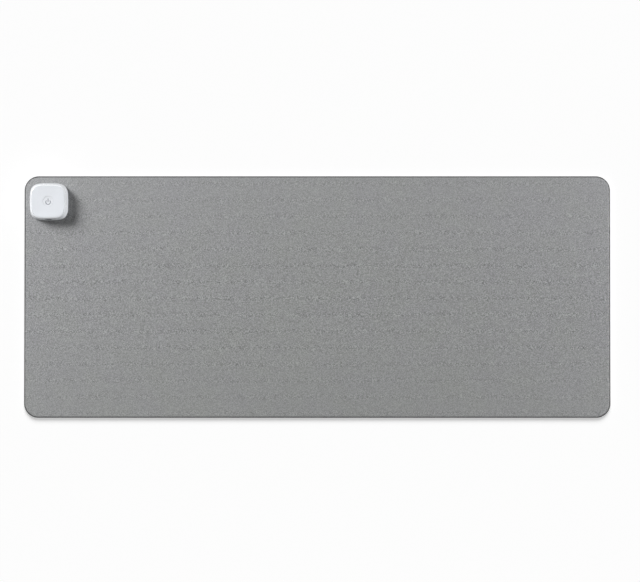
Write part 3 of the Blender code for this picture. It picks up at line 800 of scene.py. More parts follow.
@dataclass(frozen=True)
class Rubber(Finish):
    """Matt rubber with a fine non-slip texture."""

    pore: float = 0.0006
    pore_depth: float = 0.00004
    dust: float = 0.030
    dust_span: Span = (0.45, 0.8)
    dust_share: float = 0.5
    dust_gain: float = 2.2
    sheen: float = 0.3

    def dress(self, shading: Shading) -> None:
        """A stipple of small bumps, with dust in the hollows.

        Args:
            shading: The material.
        """
        cells = shading.cells(self.pore)
        patches = shading.noise(self.dust, detail=3)
        patches = shading.remap(patches, self.dust_span, (0, self.dust_share))
        dust = shading.calc("MULTIPLY", patches, cells)
        shading.set(Base_Color=shading.blend(dust, self.colour, self.paler(self.dust_gain)))
        shading.set(Roughness=self.roughness, Specular_IOR_Level=self.sheen)
        shading.set(Normal=shading.bump(cells, self.pore_depth))


@dataclass(frozen=True)
class Felt(Finish):
    """Metallised felt: fine crossed fibres with a dull metal film on them."""

    fibre: float = 0.0006
    fibre_height: float = 0.00004
    fibre_stretch: float = 0.12
    fibre_span: Span = (0.4, 0.75)
    tones: Span = (0.7, 1.05)
    dullest: float = 0.25
    metal: float = 0.6

    def dress(self, shading: Shading) -> None:
        """Two directions of fibres in colour, gloss and relief.

        Args:
            shading: The material.
        """
        stretches = ((self.fibre_stretch, 1, 1), (1, self.fibre_stretch, 1))
        ways = [shading.noise(self.fibre, at=shading.stretched(way)) for way in stretches]
        fibres = shading.calc("MAXIMUM", *ways)
        tone = shading.remap(fibres, self.fibre_span, self.tones)
        gloss = shading.remap(fibres, self.fibre_span, self.about(0, self.dullest)[::-1])
        shading.set(Base_Color=shading.scaled(self.colour, tone), Metallic=self.metal)
        shading.set(Roughness=gloss, Normal=shading.bump(fibres, self.fibre_height))


@dataclass(frozen=True)
class Film(Finish):
    """Clear amber film with faint rolling streaks."""

    streak: float = 0.004
    streak_stretch: float = 0.05
    streak_tones: Span = (0.94, 1.04)
    gloss_spread: float = 0.06
    clear: float = 0.5
    index: float = 1.6

    def dress(self, shading: Shading) -> None:
        """A see-through body whose gloss is streaked along the web that it was rolled on.

        Args:
            shading: The material.
        """
        streaks = shading.noise(self.streak, at=shading.stretched((self.streak_stretch, 1, 1)))
        tone = shading.remap(streaks, shading.usual, self.streak_tones)
        gloss = self.about(self.gloss_spread, self.gloss_spread)
        shading.set(Base_Color=shading.scaled(self.colour, tone))
        shading.set(Roughness=shading.remap(streaks, shading.usual, gloss))
        shading.set(Transmission_Weight=self.clear, IOR=self.index)


@dataclass(frozen=True)
class CarbonInk(Finish):
    """Screen-printed carbon ink, which keeps the mesh marks of its screen."""

    threads: float = 1000.0
    thread_height: float = 0.00001
    thin: float = 0.012
    thin_span: Span = (0.35, 0.7)
    thin_tones: Span = (0.8, 1.6)

    def dress(self, shading: Shading) -> None:
        """A woven relief of the screen, and ink that lies thinner in places.

        Args:
            shading: The material.
        """
        waves = {"Vector": shading.place, "Scale": self.threads}
        threads = [shading.add("ShaderNodeTexWave", waves, bands_direction=way) for way in "XY"]
        weave = shading.calc("MULTIPLY", *(thread.outputs["Fac"] for thread in threads))
        thin = shading.noise(self.thin, detail=3)
        tone = shading.remap(thin, self.thin_span, self.thin_tones)
        shading.set(Base_Color=shading.scaled(self.colour, tone), Roughness=self.roughness)
        shading.set(Normal=shading.bump(weave, self.thread_height))


@dataclass(frozen=True)
class Foam(Finish):
    """Closed-cell foam with the skin cut off its cells."""

    cell: float = 0.0007
    cell_depth: float = 0.00012
    pit_shade_span: Span = (0.1, 0.7)
    tones: Span = (0.72, 1.04)
    sheen: float = 0.2

    def dress(self, shading: Shading) -> None:
        """Cut cells as pits, with painted shade that darkens the hollows.

        Args:
            shading: The material.
        """
        pits = shading.cells(self.cell)
        # Painted shade: the colour darkens towards the bottom of each pit.
        tone = shading.remap(pits, self.pit_shade_span, self.tones)
        shading.set(Base_Color=shading.scaled(self.colour, tone), Roughness=self.roughness)
        shading.set(Normal=shading.bump(pits, self.cell_depth), Specular_IOR_Level=self.sheen)


@dataclass(frozen=True)
class Metal(Finish):
    """Plated or bare metal with the marks of how it was turned or drawn."""

    line: float = 0.0004
    line_height: float = 0.000004
    line_stretch: float = 0.08
    tarnish: float = 0.003
    tarnish_span: Span = (0.4, 0.75)
    tarnish_tones: Span = (1.0, 0.82)
    gloss_spread: Span = (0.07, 0.1)

    def dress(self, shading: Shading) -> None:
        """Fine drawn lines in the gloss and relief, and a little tarnish.

        Args:
            shading: The material.
        """
        lines = shading.noise(self.line, detail=3, at=shading.stretched((1, self.line_stretch, 1)))
        tone = shading.remap(shading.noise(self.tarnish), self.tarnish_span, self.tarnish_tones)
        shading.set(Base_Color=shading.scaled(self.colour, tone), Metallic=1.0)
        shading.set(Roughness=shading.remap(lines, shading.usual, self.about(*self.gloss_spread)))
        shading.set(Normal=shading.bump(lines, self.line_height))


@dataclass(frozen=True)
class BoardLacquer(Finish):
    """A printed board: copper traces show paler through its lacquer."""

    trace: float = 0.0009
    trace_height: float = 0.00002
    trace_gain: float = 1.7
    gloss: float = 0.002
    glossiest: float = 0.32
    coat: float = 0.4

    def dress(self, shading: Shading) -> None:
        """Square-cornered traces in colour and relief under a clear coat.

        Args:
            shading: The material.
        """
        sizes = {"Brick Width": 4 * self.trace, "Row Height": self.trace, "Scale": 1.0}
        rows = {"Vector": shading.place, "Mortar Size": self.trace / 5, **sizes}
        traces = shading.add("ShaderNodeTexBrick", rows, offset=0.35, squash=2.0).outputs["Fac"]
        shading.set(Base_Color=shading.blend(traces, self.paler(self.trace_gain), self.colour))
        shading.set(Roughness=shading.clouds(self.gloss, (self.glossiest, self.roughness)))
        shading.set(Normal=shading.bump(traces, self.trace_height), Coat_Weight=self.coat)


@dataclass(frozen=True)
class Resin(Finish):
    """Cast resin, clear or tinted."""

    clear: float = 0.6
    index: float = 1.5
    cloud: float = 0.0012
    cloud_tones: Span = (0.9, 1.05)
    mark: float = 0.0005
    mark_height: float = 0.000003
    gloss_spread: float = 0.05

    def dress(self, shading: Shading) -> None:
        """A clouded body under a smooth skin.

        Args:
            shading: The material.
        """
        tone = shading.clouds(self.cloud, self.cloud_tones)
        marks = shading.noise(self.mark, detail=1)
        gloss = shading.remap(marks, shading.usual, self.about(0, self.gloss_spread))
        shading.set(Base_Color=shading.scaled(self.colour, tone), Roughness=gloss)
        shading.set(Transmission_Weight=self.clear, IOR=self.index)
        shading.set(Normal=shading.bump(marks, self.mark_height))


@dataclass(frozen=True)
class Window(Moulded):
    """A translucent window moulded into plastic, in the grey of the symbol on the button."""

    tint: Colour = (0.17, 0.185, 0.22)

    @property
    def colour(self) -> Colour:
        """The grey of the unlit window."""
        return self.tint

    @property
    def title(self) -> str:
        """A name of its own, because the slot's own finish is clearer."""
        return "symbol_window"


@dataclass(frozen=True)
class Finishes:
    """All the finishes of the mat, by the record's slots."""

    leather: Finish = Leatherette("grey_leather", 0.62)
    edge: Finish = SealedEdge("edge_paint", 0.55)
    base: Finish = Rubber("non_slip_rubber", 0.80)
    felt: Finish = Felt("reflector_felt", 0.35)
    film: Finish = Film("clear_film", 0.30)
    ink: Finish = CarbonInk("carbon_track", 0.50)
    foam: Finish = Foam("foam", 0.90)
    housing: Finish = Moulded("white_plastic", 0.26, Grain.SATIN, 0.6)
    panel: Finish = Moulded("white_gloss", 0.22, Grain.POLISHED, 0.3)
    button: Finish = Moulded("white_button", 0.28, Grain.SATIN, 0.2)
    symbol: Finish = Window("clear_lens", 0.30, Grain.SATIN)
    gasket: Finish = Foam("black_foam", 0.85)
    plate: Finish = Moulded("dark_plastic", 0.50, Grain.SPARK_ERODED)
    black: Finish = Moulded("black_plastic", 0.45, Grain.SATIN)
    board: Finish = BoardLacquer("green_board", 0.40)
    lens: Finish = Resin("clear_lens", 0.10, 0.8)
    bead: Finish = Resin("amber_bead", 0.25, 0.5)
    live: Finish = Moulded("red_lead", 0.45, Grain.SATIN)
    back: Finish = Moulded("black_lead", 0.45, Grain.SATIN)
    steel: Finish = Metal("steel", 0.28)
    brass: Finish = Metal("brass", 0.30)


def dress_nodes(look: Finish, *nodes: str) -> None:
    """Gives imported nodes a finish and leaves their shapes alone.

    Args:
        look: The finish.
        nodes: The nodes' names.
    """
    for node in nodes:
        data = frame["nodes"][node].data
        data.materials.clear()
        data.materials.append(look.build())
        LOG.info("%s: finished as %s", node, look.slot)


@dataclass
class Assembly:
    """A sub-assembly: the finishes that it uses, its body and the pieces that it has made."""

    finishes: Finishes
    body: Body = Body.MAT
    pieces: list[Piece] = field(default_factory=list)

    def build(self) -> None:
        """Makes and dresses the pieces. Each sub-assembly has its own."""
        raise NotImplementedError

    def keep(self, piece: Piece, look: Finish, *nodes: str, sharp_from: float = 35) -> Piece:
        """Gives a piece its finish and lets it ride in place of the nodes that it stands for.

        Args:
            piece: The piece.
            look: Its finish, whose slot it takes.
            nodes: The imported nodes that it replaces.
            sharp_from: The angle in degrees from which its edges stay sharp.

        Returns:
            The piece.
        """
        piece.data.materials.clear()
        piece.data.materials.append(look.build())
        piece.data.shade_smooth()
        piece.data.set_sharp_from_angle(angle=radians(sharp_from))
        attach(piece, self.body.value)
        if nodes:
            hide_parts(*nodes)
        self.pieces.append(piece)
        LOG.info("%s: %d faces on %s", piece.name, len(piece.data.polygons), self.body.value)
        return piece


# The camera, the floor and the lights
@dataclass(frozen=True)
class Lamp:
    """A soft lamp that aims at a place on the mat.

    Its angles are in degrees: its direction from +X towards +Y, and its height. A sun has no
    distance, and its width is an angle. A panel is a disc at a real distance.
    """

    name: str
    target: Place
    azimuth: float
    elevation: float
    power: float
    width: float
    distance: float = 0.0
    on_floor: bool = False

    def hang(self, receivers: bpy.types.Collection) -> None:
        """Makes the lamp.

        Args:
            receivers: The pieces that it falls on.
        """
        turn, rise = radians(self.azimuth), radians(self.elevation)
        way = Vector((cos(turn) * cos(rise), sin(turn) * cos(rise), sin(rise)))
        data = bpy.data.lights.new(self.name, "AREA" if self.distance else "SUN")
        data.energy = self.power
        if self.distance:
            data.shape, data.size = "DISK", self.width
        else:
            data.angle = radians(self.width)
        lamp = show(self.name, data)
        lamp.location = Vector((*self.target, 0)) + way * (self.distance or 1)
        lamp.rotation_euler = (-way).to_track_quat("-Z", "Y").to_euler()
        lamp.light_linking.receiver_collection = receivers


@dataclass(frozen=True)
class Studio:
    """The camera above the mat, a white floor under it and plain soft light round it."""

    sensor: float = 0.036
    lens: float = 0.13992
    clip: Span = (0.05, 60)
    eye: Spot = (0.0037, -0.0634, 3.4)
    aim: Spot = (0.0037, 0.0082, 0.0)
    floor_half: float = 6.0
    floor_white: float = 0.80
    floor_roughness: float = 0.9
    floor_glow: float = 0.54
    fleck: float = 0.002
    fleck_tones: Span = (0.985, 1.0)
    lamps: tuple[Lamp, ...] = (
        Lamp("front_fill", (0, 0), -90, 12, 0.67, 12),
        Lamp("left_fill", (0, 0), 180, 10, 0.08, 15),
        Lamp("floor_wash", (0, 0), 90, 42, 2.6, 40, on_floor=True),
        Lamp("key", (-0.366, 0.130), 147, 30, 112, 1.20, 2.5),
        Lamp("right_panel", (0.400, 0.0), 0, 18, 3.6, 0.40, 1.0),
        Lamp("right_low_panel", (0.400, 0.0), 0, 8, 19, 0.30, 1.2),
        Lamp("rear_panel", (0.400, 0.05), 52, 12, 12.5, 0.40, 1.33),
    )

    def build(self, shown: Sequence[Piece]) -> None:
        """Makes everything that isn't part of the object.

        Args:
            shown: The pieces that the lights fall on and the floor doesn't share.
        """
        self.make_camera()
        self.make_world()
        self.light([self.make_floor()], shown)
        view = bpy.context.scene.view_settings
        view.view_transform = "Standard"

    def make_camera(self) -> None:
        """A long lens almost straight above the mat."""
        data = bpy.data.cameras.new("camera")
        data.sensor_width = 1000 * self.sensor
        data.lens = 1000 * self.lens
        data.clip_start, data.clip_end = self.clip
        camera = show("camera", data)
        camera.location = self.eye
        way = Vector(self.aim) - Vector(self.eye)
        camera.rotation_euler = way.to_track_quat("-Z", "Y").to_euler()
        bpy.context.scene.camera = camera

    def seen(self, graph: Graph) -> Socket:
        """Tells the rays that show the background: those of the camera, of gloss and of glass.

        Args:
            graph: The node tree that asks.

        Returns:
            1 for such a ray, or 0.
        """
        path = graph.add("ShaderNodeLightPath").outputs
        pair = graph.calc("MAXIMUM", path["Is Camera Ray"], path["Is Glossy Ray"])
        return graph.calc("MAXIMUM", pair, path["Is Transmission Ray"])

    def make_world(self) -> None:
        """White where it is seen, and dark elsewhere."""
        world = bpy.data.worlds.new("studio")
        world.use_nodes = True
        graph = Graph(world.node_tree)
        sky = world.node_tree.nodes["Background"].inputs
        graph.feed(sky["Color"], (1, 1, 1, 1))
        graph.feed(sky["Strength"], self.seen(graph))
        bpy.context.scene.world = world

    def make_floor(self) -> Piece:
        """A white floor that keeps the mat's shadow.

        Returns:
            The floor.
        """
        side = self.floor_half
        corners = [(-side, -side, 0), (side, -side, 0), (side, side, 0), (-side, side, 0)]
        floor = show("floor", bpy.data.meshes.new("floor"))
        floor.data.from_pydata(corners, [], [[0, 1, 2, 3]])
        shading = Shading("floor_paper")
        flecks = shading.clouds(self.fleck, self.fleck_tones)
        shading.set(Base_Color=shading.scaled((self.floor_white,) * 3, flecks))
        shading.set(Roughness=self.floor_roughness, Specular_IOR_Level=0.0)
        glow = shading.calc("MULTIPLY", self.seen(shading), self.floor_glow)
        shading.set(Emission_Color=(1, 1, 1, 1), Emission_Strength=glow)
        floor.data.materials.append(shading.material)
        return floor

    def light(self, floor: Sequence[Piece], shown: Sequence[Piece]) -> None:
        """Hangs the lamps. Each falls either on the object or on the floor.

        Args:
            floor: The floor.
            shown: The object's pieces.
        """
        groups = []
        for name, members in (("lit_object", shown), ("lit_floor", floor)):
            groups.append(bpy.data.collections.new(name))
            for member in members:
                groups[-1].objects.link(member)
        for lamp in self.lamps:
            lamp.hang(groups[lamp.on_floor])


# The mat
@dataclass
class Layer:
    """One flat layer of the mat: a rectangle with round corners on an even grid of faces."""

    half: Place
    radius: float
    cell: float = 0.004
    corner_rows: int = 10

    def rows(self) -> list[tuple[float, float, float]]:
        """The grid's rows from front to rear.

        Returns:
            Each row's depth, half length and edge direction in radians.
        """
        length, depth, radius = *self.half, self.radius
        straight = depth - radius
        count = max(2, round(2 * straight / self.cell))
        turns = [-QUARTER_TURN * (1 - i / self.corner_rows) for i in range(self.corner_rows)]
        front = [
            (radius - depth + radius * sin(turn), length - radius + radius * cos(turn), turn)
            for turn in turns
        ]
        sides = [(straight * (2 * i / count - 1), length, 0.0) for i in range(count + 1)]
        return front + sides + [(-y, half_length, -turn) for y, half_length, turn in front[::-1]]

    def build(self, name: str, edge: Outline, relief: Relief) -> Piece:
        """Builds the layer's closed skin.

        Args:
            name: The piece's name.
            edge: How far out and how high the skin is at each step round its rim, from the rim of
                the upper grid to the rim of the lower one.
            relief: How much the upper grid stands proud at a place.

        Returns:
            The piece.
        """
        rows = self.rows()
        columns = round(2 * self.half[0] / self.cell)
        wide, high = columns + 1, len(rows)
        grid = [(half * (2 * i / columns - 1), y) for y, half, _ in rows for i in range(wide)]
        top, bottom = edge[0][1], edge[-1][1]
        points = [(x, y, top + relief(x, y)) for x, y in grid] + [(x, y, bottom) for x, y in grid]
        turns = [turn for _, _, turn in rows]
        rim = [(i, (0.0, -1.0)) for i in range(columns)]
        rim += [((r + 1) * wide - 1, (cos(turns[r]), sin(turns[r]))) for r in range(high - 1)]
        rim += [(high * wide - 1 - i, (0.0, 1.0)) for i in range(columns)]
        rim += [(r * wide, (-cos(turns[r]), sin(turns[r]))) for r in range(high - 1, 0, -1)]
        faces: list[list[int]] = []
        lower = high * wide
        for row in range(high - 1):
            for i in range(columns):
                a, b = row * wide + i, (row + 1) * wide + i
                faces.append([a, a + 1, b + 1, b])
                faces.append([lower + a, lower + b, lower + b + 1, lower + a + 1])
        loops = [[index for index, _ in rim]]
        for out, height in edge[1:-1]:
            start = len(points)
            for i, (nx, ny) in rim:
                points.append((grid[i][0] + out * nx, grid[i][1] + out * ny, height))
            loops.append(list(range(start, len(points))))
        loops.append([lower + index for index, _ in rim])
        for inner, outer in zip(loops, loops[1:]):
            for i in range(len(rim)):
                j = (i + 1) % len(rim)
                faces.append([inner[i], outer[i], outer[j], inner[j]])
        return solid(name, points, faces)


def level(x: float, y: float) -> float:
    """No relief."""
    return 0.0


def holes_through(
    low: float, high: float, passage_slack: float = 0.0018, passage_corner: float = 0.002
) -> list[Piece]:
    """Cutters for the case screws and for the passage that the leads go up through.

    Args:
        low: The lowest height that they cut.
        high: The highest.
        passage_slack: How far the passage stands clear of the eyelets.
        passage_corner: The radius of its corners.

    Returns:
        The cutters.
    """
    holes = [circle(SCREW_BORE, steps=32, centre=Box.of(screw).plan) for screw in CASE_SCREWS]
    leads = Box.of("eyelet_live", "eyelet_return")
    half = leads.drawn_in(-passage_slack)
    holes.append(rounded_rectangle(half, passage_corner, steps=8, centre=leads.plan))
    return [through(hole, low, high) for hole in holes]


@dataclass
class Mat(Assembly):
    """The laminated mat: base, felt, heater, foam, leather and the seal round their edges."""

    corner_radius: float = 0.0195
    leather_rounding: float = 0.00075
    wave_height: float = 0.00006
    wave_length: float = 0.075
    wave_margin: float = 0.03
    seal_width: float = 0.0014
    seal_rounding: float = 0.00045
    foam_inset: float = 0.0016
    foam_crown: float = 0.0005
    pocket_slack: float = 0.0003
    pocket_lean: float = 0.0002
    track_room: float = 0.0002
    window_slack: float = 0.0003
    window_corner: float = 0.0073
    dot_pitch: float = 0.0085
    dot_radius: float = 0.0021
    dot_height: float = 0.00035
    dot_root: float = 0.00015
    dot_shoulder: Place = (0.7, 0.8)
    dot_clearance: float = 0.0014

    def __post_init__(self) -> None:
        """Finds the underside of the base's sheet, which stands on its domes."""
        self.sole = Box.of("base_layer").low.z + self.dot_height

    def build(self) -> None:
        """Lays the mat from the leather down, and closes its edge."""
        looks = self.finishes
        self.lay_leather()
        self.lay_foam()
        felt, base = ("felt_reflector", "heat_reflector"), ("rubber_base", "base_layer")
        low = Box.of("heat_reflector").low.z
        self.lay_sheet(*felt, looks.felt, low, sweep=60, steps=4)
        self.lay_sheet(*base, looks.base, self.sole, sweep=70, steps=6)
        self.stud_base()
        self.seal_edge()
        self.declare()
        dress_nodes(looks.film, "heater_film")
        dress_nodes(looks.ink, "heating_track")
        dress_nodes(looks.brass, "eyelet_live", "eyelet_return")

    def layer(self, node: str, inset: float) -> Layer:
        """The grid for a layer in a node's place.

        Args:
            node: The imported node.
            inset: How far the grid is drawn in from its edge.

        Returns:
            The grid.
        """
        box = Box.of(node)
        seal = Box.of("edge_seal").half.x - box.half.x
        return Layer(box.drawn_in(inset), self.corner_radius - seal - inset)

    def waves(self, x: float, y: float) -> float:
        """The leather's relief: long soft waves that die out towards its edges.

        Args:
            x: The place along the mat.
            y: The place across it.

        Returns:
            How far the leather stands proud.
        """
        cover = Box.of("top_cover").half
        edge = min(cover.x - abs(x), cover.y - abs(y)) / self.wave_margin
        swell = noise.noise(Vector((x, y, 0)) / self.wave_length)
        return self.wave_height * swell * max(0.0, min(1.0, edge))

    def lay_leather(self) -> None:
        """The leather: waves a few hundredths of a millimetre high, and a rim that rolls over."""
        low, high = Box.of("top_cover").low.z, Box.of("top_cover").high.z
        rolled = self.leather_rounding
        edge = [(0.0, high), *arc((0, high - rolled), rolled, start=78, end=0, steps=6)]
        edge += [(rolled, low), (0.0, low)]
        leather = self.layer("top_cover", rolled).build("leather_cover", edge, self.waves)
        self.keep(carve(leather, holes_through(low, high)), self.finishes.leather, "top_cover")

    def lay_foam(self) -> None:
        """The foam, hollowed from below for the heater, with a crowned upper edge."""
        box = Box.of("foam_cushion")
        low, high = box.low.z, box.high.z
        pocket = Box.of("heater_film").drawn_in(-self.pocket_slack)
        roof = Box.of("heating_track").high.z + self.track_room
        rim, crown = box.half.x - pocket[0], self.foam_crown
        edge = [(0.0, high), (rim - 2 * crown, high)]
        edge += arc((rim - crown, high - crown), crown, start=78, end=0, steps=4)
        edge += [(rim, low), (0.0, low), (self.pocket_lean, low), (0.0, roof)]
        grid = Layer(pocket, self.corner_radius - self.foam_inset - rim)
        foam = carve(grid.build("foam_pad", edge, level), holes_through(low, high))
        self.keep(foam, self.finishes.foam, "foam_cushion")

    def lay_sheet(
        self, name: str, node: str, look: Finish, low: float, sweep: float, steps: int
    ) -> None:
        """A thin sheet with a soft edge, and with a window that the clamp plate lies in.

        Args:
            name: The piece's name.
            node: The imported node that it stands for.
            look: Its finish.
            low: The height of its underside.
            sweep: How far its edge curls over, in degrees up and down from outwards.
            steps: How many steps the edge has.
        """
        high, plate = Box.of(node).high.z, Box.of("clamp_plate")
        soft = (high - low) / 2
        edge = [(0.0, high), *arc((0, low + soft), soft, sweep, -sweep, steps), (0.0, low)]
        sheet = self.layer(node, soft).build(name, edge, level)
        half = plate.drawn_in(-self.window_slack)
        window = rounded_rectangle(half, self.window_corner, steps=12, centre=plate.plan)
        self.keep(carve(sheet, [through(window, low, high)]), look, node)

    def stud_base(self) -> None:
        """Rows of low domes under the base, which are rooted a little above its underside."""
        radius, height = self.dot_radius, self.dot_height
        out, down = self.dot_shoulder
        profile = [(0.0, self.dot_root), (radius, self.dot_root)]
        profile += [(out * radius, -down * height), (0.0, -height)]
        form = turned("dot_form", profile, steps=10)
        shape = Shape("domes", self.finishes.base, Form=form)
        domes = shape.run("rubber_domes", shape.copied(shape.form("Form")), self.dot_places())
        self.keep(domes, self.finishes.base)

    def dot_places(self) -> Ring:
        """The domes' places: staggered rows, clear of the base's rim and of the plate.

        Returns:
            Where the middle of each dome meets the sheet.
        """
        half, plate = Box.of("base_layer").half, Box.of("clamp_plate")
        margin = self.dot_radius + self.dot_clearance
        row_pitch = self.dot_pitch * sqrt(3) / 2
        rows, columns = int((half.y - margin) / row_pitch), int((half.x - margin) / self.dot_pitch)
        places: Ring = []
        for row in range(-rows, rows + 1):
            for column in range(-columns, columns + (row + 1) % 2):
                x = (column + (0.5 if row % 2 else 0.0)) * self.dot_pitch
                y = row * row_pitch
                out_x, out_y = (abs(p) - h + self.corner_radius for p, h in zip((x, y), half))
                near_x, near_y = abs(x - plate.middle.x), abs(y - plate.middle.y)
                inside = hypot(max(0.0, out_x), max(0.0, out_y)) < self.corner_radius - margin
                if inside and max(near_x - plate.half.x, near_y - plate.half.y) > margin:
                    places.append((x, y, self.sole))
        return places

    def seal_edge(self) -> None:
        """The dark seal round the edges, swept along the mat's outline."""
        box, inset = Box.of("edge_seal"), self.seal_width / 2
        outline = rounded_rectangle(box.drawn_in(inset), self.corner_radius - inset, steps=24)
        path = raised(outline, (box.low.z + box.high.z) / 2)
        sizes = {"Width": self.seal_width, "Height": box.height, "Rounding": self.seal_rounding}
        shape = Shape("swept seal", self.finishes.edge, **sizes, Steps=5)
        rounding = {"Count": shape.given["Steps"], "Radius": shape.given["Rounding"]}
        section = {"Curve": shape.oblong("Width", "Height"), **rounding}
        eased = shape.wire("GeometryNodeFilletCurve", section, mode="POLY")
        edges = [*chain(len(path)), (len(path) - 1, 0)]
        seal = shape.run("edge_band", shape.swept(eased), path, edges)
        self.keep(facing_out(seal), self.finishes.edge, "edge_seal")

    def declare(self) -> None:
        """Looks up the leather's box and does nothing more with it; each soft layer was cut flat to
        the mat's outline in its seal.
        """
        box = Box.of("top_cover")


# The controller
@dataclass
class Housing(Assembly):
    """The controller's shell, its face panel, and the gasket and plate that hold it on the mat."""

    power: float = 3.8
    side_draft: float = 0.0027
    front_draft: float = 0.0020
    rear_draft: float = 0.0029
    wall_rows: int = 6
    top_rounding: float = 0.0013
    foot_chamfer: float = 0.0006
    wall: float = 0.0018
    ceiling: float = 0.0014
    rim: float = 0.0002
    seat_gap: float = 0.0002
    support: float = 0.0006
    panel_gap: float = 0.00013
    panel_ease: float = 0.00018
    panel_ease_steps: int = 4
    panel_dish: float = 0.0006
    dish_steps: int = 12
    well_radius: float = 0.00705
    hole_radius: float = 0.00693
    boss_radius: float = 0.0028
    boss_start: float = 0.0019
    tip_room: float = 0.0003
    port_half: Place = (0.00477, 0.00193)
    port_reach: float = 0.008
    sleeve_wall: float = 0.00025
    sleeve_lip: float = 0.0004
    gasket_rings: int = 8
    plate_corner: float = 0.007
    plate_ease: float = 0.0003
    sink_slack: float = 0.0003
    sink_depth: float = 0.0009
    grip_half: Place = (0.009, 0.0009)
    grip_corner: float = 0.0008
    grip_pitch: float = 0.005
    grip_pairs: int = 2
    grip_depth: float = 0.0004
    steps: int = 192
    round_steps: int = 9

    def __post_init__(self) -> None:
        """Takes the shell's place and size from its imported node."""
        self.box = Box.of("controller_cover")
        self.centre = Box.of("power_button").plan
        self.wall_top = self.box.high.z - self.top_rounding

    def build(self) -> None:
        """Makes the housing from the shell down."""
        self.mould_shell()
        self.line_port_shade()
        self.fit_panel()
        self.lay_gasket()
        self.fit_plate()
        dress_nodes(self.finishes.housing, "controller_floor")

    def lean(self, height: float) -> float:
        """The share of its draft that the wall has leaned in by at a height, none at its widest."""
        return (height - self.box.low.z - self.foot_chamfer) / (self.wall_top - self.box.low.z)

    def ring(self, height: float, inset: float = 0.0, lean_to: float | None = None) -> Ring:
        """A ring round the drafted shell.

        Args:
            height: Where the ring is.
            inset: How far it is drawn in all round.
            lean_to: The height whose draft it has, if not its own.

        Returns:
            The ring's points.
        """
        lean = self.lean(height if lean_to is None else lean_to)
        front, rear = self.front_draft * lean, self.rear_draft * lean
        half_length = self.box.half.x - self.side_draft * lean - inset
        half_depth = self.box.half.y - (front + rear) / 2 - inset
        centre = (self.centre[0], self.centre[1] + (front - rear) / 2)
        return raised(squircle((half_length, half_depth), self.power, self.steps), height, centre)

    def top_ring(self, height: float, inset: float) -> Ring:
        """A ring with the draft of the wall's top."""
        return self.ring(height, inset, self.wall_top)

    def button_ring(self, radius: float, height: float) -> Ring:
        """A ring round the button, with its points in line with the shell's."""
        return raised(circle(radius, self.steps), height, self.centre)

    def mould_shell(self) -> None:
        """The shell: chamfered foot, drafted wall, rounded top edge and a recess for the panel."""
        low, foot = self.box.low.z, self.box.low.z + self.foot_chamfer
        seat = Box.of("face_panel").low.z - self.seat_gap
        under = seat - self.ceiling
        lip, support, well = self.top_rounding + self.rim, self.support, self.well_radius
        rings = [self.ring(low, self.foot_chamfer), self.ring(foot)]
        rise = self.wall_top - foot
        rings += [self.ring(foot + rise * i / self.wall_rows) for i in range(1, self.wall_rows)]
        for i in range(self.round_steps + 1):
            turn = QUARTER_TURN * i / self.round_steps
            height = self.wall_top + self.top_rounding * sin(turn)
            rings.append(self.top_ring(height, self.top_rounding * (1 - cos(turn))))
        recess = ((self.box.high.z, lip), (seat, lip), (seat, lip + support))
        rings += [self.top_ring(height, inset) for height, inset in recess]
        bore = ((well + support, seat), (well, seat), (well, under), (well + support, under))
        rings += [self.button_ring(radius, height) for radius, height in bore]
        rings += [self.ring(under, self.wall + support), self.ring(under, self.wall)]
        shell = skin("controller_shell", [*rings, self.ring(low, self.wall)], loop=True)
        bosses = [self.boss(screw, (under + seat) / 2) for screw in CASE_SCREWS]
        shell = carve(shell, [self.port_cutter()], bosses)
        self.keep(shell, self.finishes.housing, "controller_cover", sharp_from=32)

    def boss(self, node: str, top: float) -> Piece:
        """A blind-bored screw boss that hangs from the shell's ceiling.

        Args:
            node: The screw that goes into it.
            top: The height that it is rooted at.

        Returns:
            The boss.
        """
        screw = Box.of(node)
        bottom = Box.of("controller_floor").low.z + self.boss_start
        bore_top = screw.high.z + self.tip_room
        profile = [(0.0, bore_top), (SCREW_BORE, bore_top), (SCREW_BORE, bottom)]
        profile += [(self.boss_radius, bottom), (self.boss_radius, top), (0.0, top)]
        return turned("boss", profile, steps=48, centre=screw.plan)

    def port_cutter(self) -> Piece:
        """A flat-sided oval hole through the front wall.

        Returns:
            The cutter.
        """
        usb = Box.of("usb_c_shell").middle
        outline = oval(self.port_half, steps=24)
        hole = slab("port_cutter", outline, -self.port_reach, self.port_reach)
        place = Matrix.Translation((usb.x, self.box.low.y, usb.z))
        hole.data.transform(place @ Matrix.Rotation(QUARTER_TURN, 4, "X"))
        return hole

    def port_outline(self, inset: float) -> Outline:
        """The port's outline in its wall.

        Args:
            inset: How far it is drawn in.

        Returns:
            The outline.
        """
        middle = Box.of("usb_c_shell").middle
        half = (self.port_half[0] - inset, self.port_half[1] - inset)
        return oval(half, steps=24, centre=(middle.x, middle.z))

    def port_ring(self, inset: float, depth: float) -> Ring:
        """A ring inside the port, at an even depth below the sloping wall."""
        front, outline = self.box.low.y + depth, self.port_outline(inset)
        return [(x, front + self.front_draft * self.lean(z), z) for x, z in outline]

    def line_port_shade(self) -> None:
        """A thin dark sleeve that lines the port, flush with the sloping wall: painted shade that
        darkens the port's opening.
        """
        wall, gap, lip = self.sleeve_wall, self.sleeve_wall / 10, self.sleeve_wall + self.sleeve_lip
        sloping = [(gap, self.wall), (gap, 2 * gap), (2 * gap, gap)]
        sloping += [(wall - gap, gap), (wall, 2 * gap)]
        back = Box.of("usb_c_shell").low.y - 4 * gap
        front = back - self.sleeve_lip
        rings = [self.port_ring(inset, depth) for inset, depth in sloping]
        flange = ((wall, front), (lip, front), (lip, back), (wall, back))
        rings += [upright(self.port_outline(inset), y) for inset, y in flange]
        # The dark lining stands for the shade inside the port: painted shade.
        sleeve = skin("port_sleeve", [*rings, self.port_ring(wall, self.wall)], loop=True)
        self.keep(sleeve, self.finishes.plate)

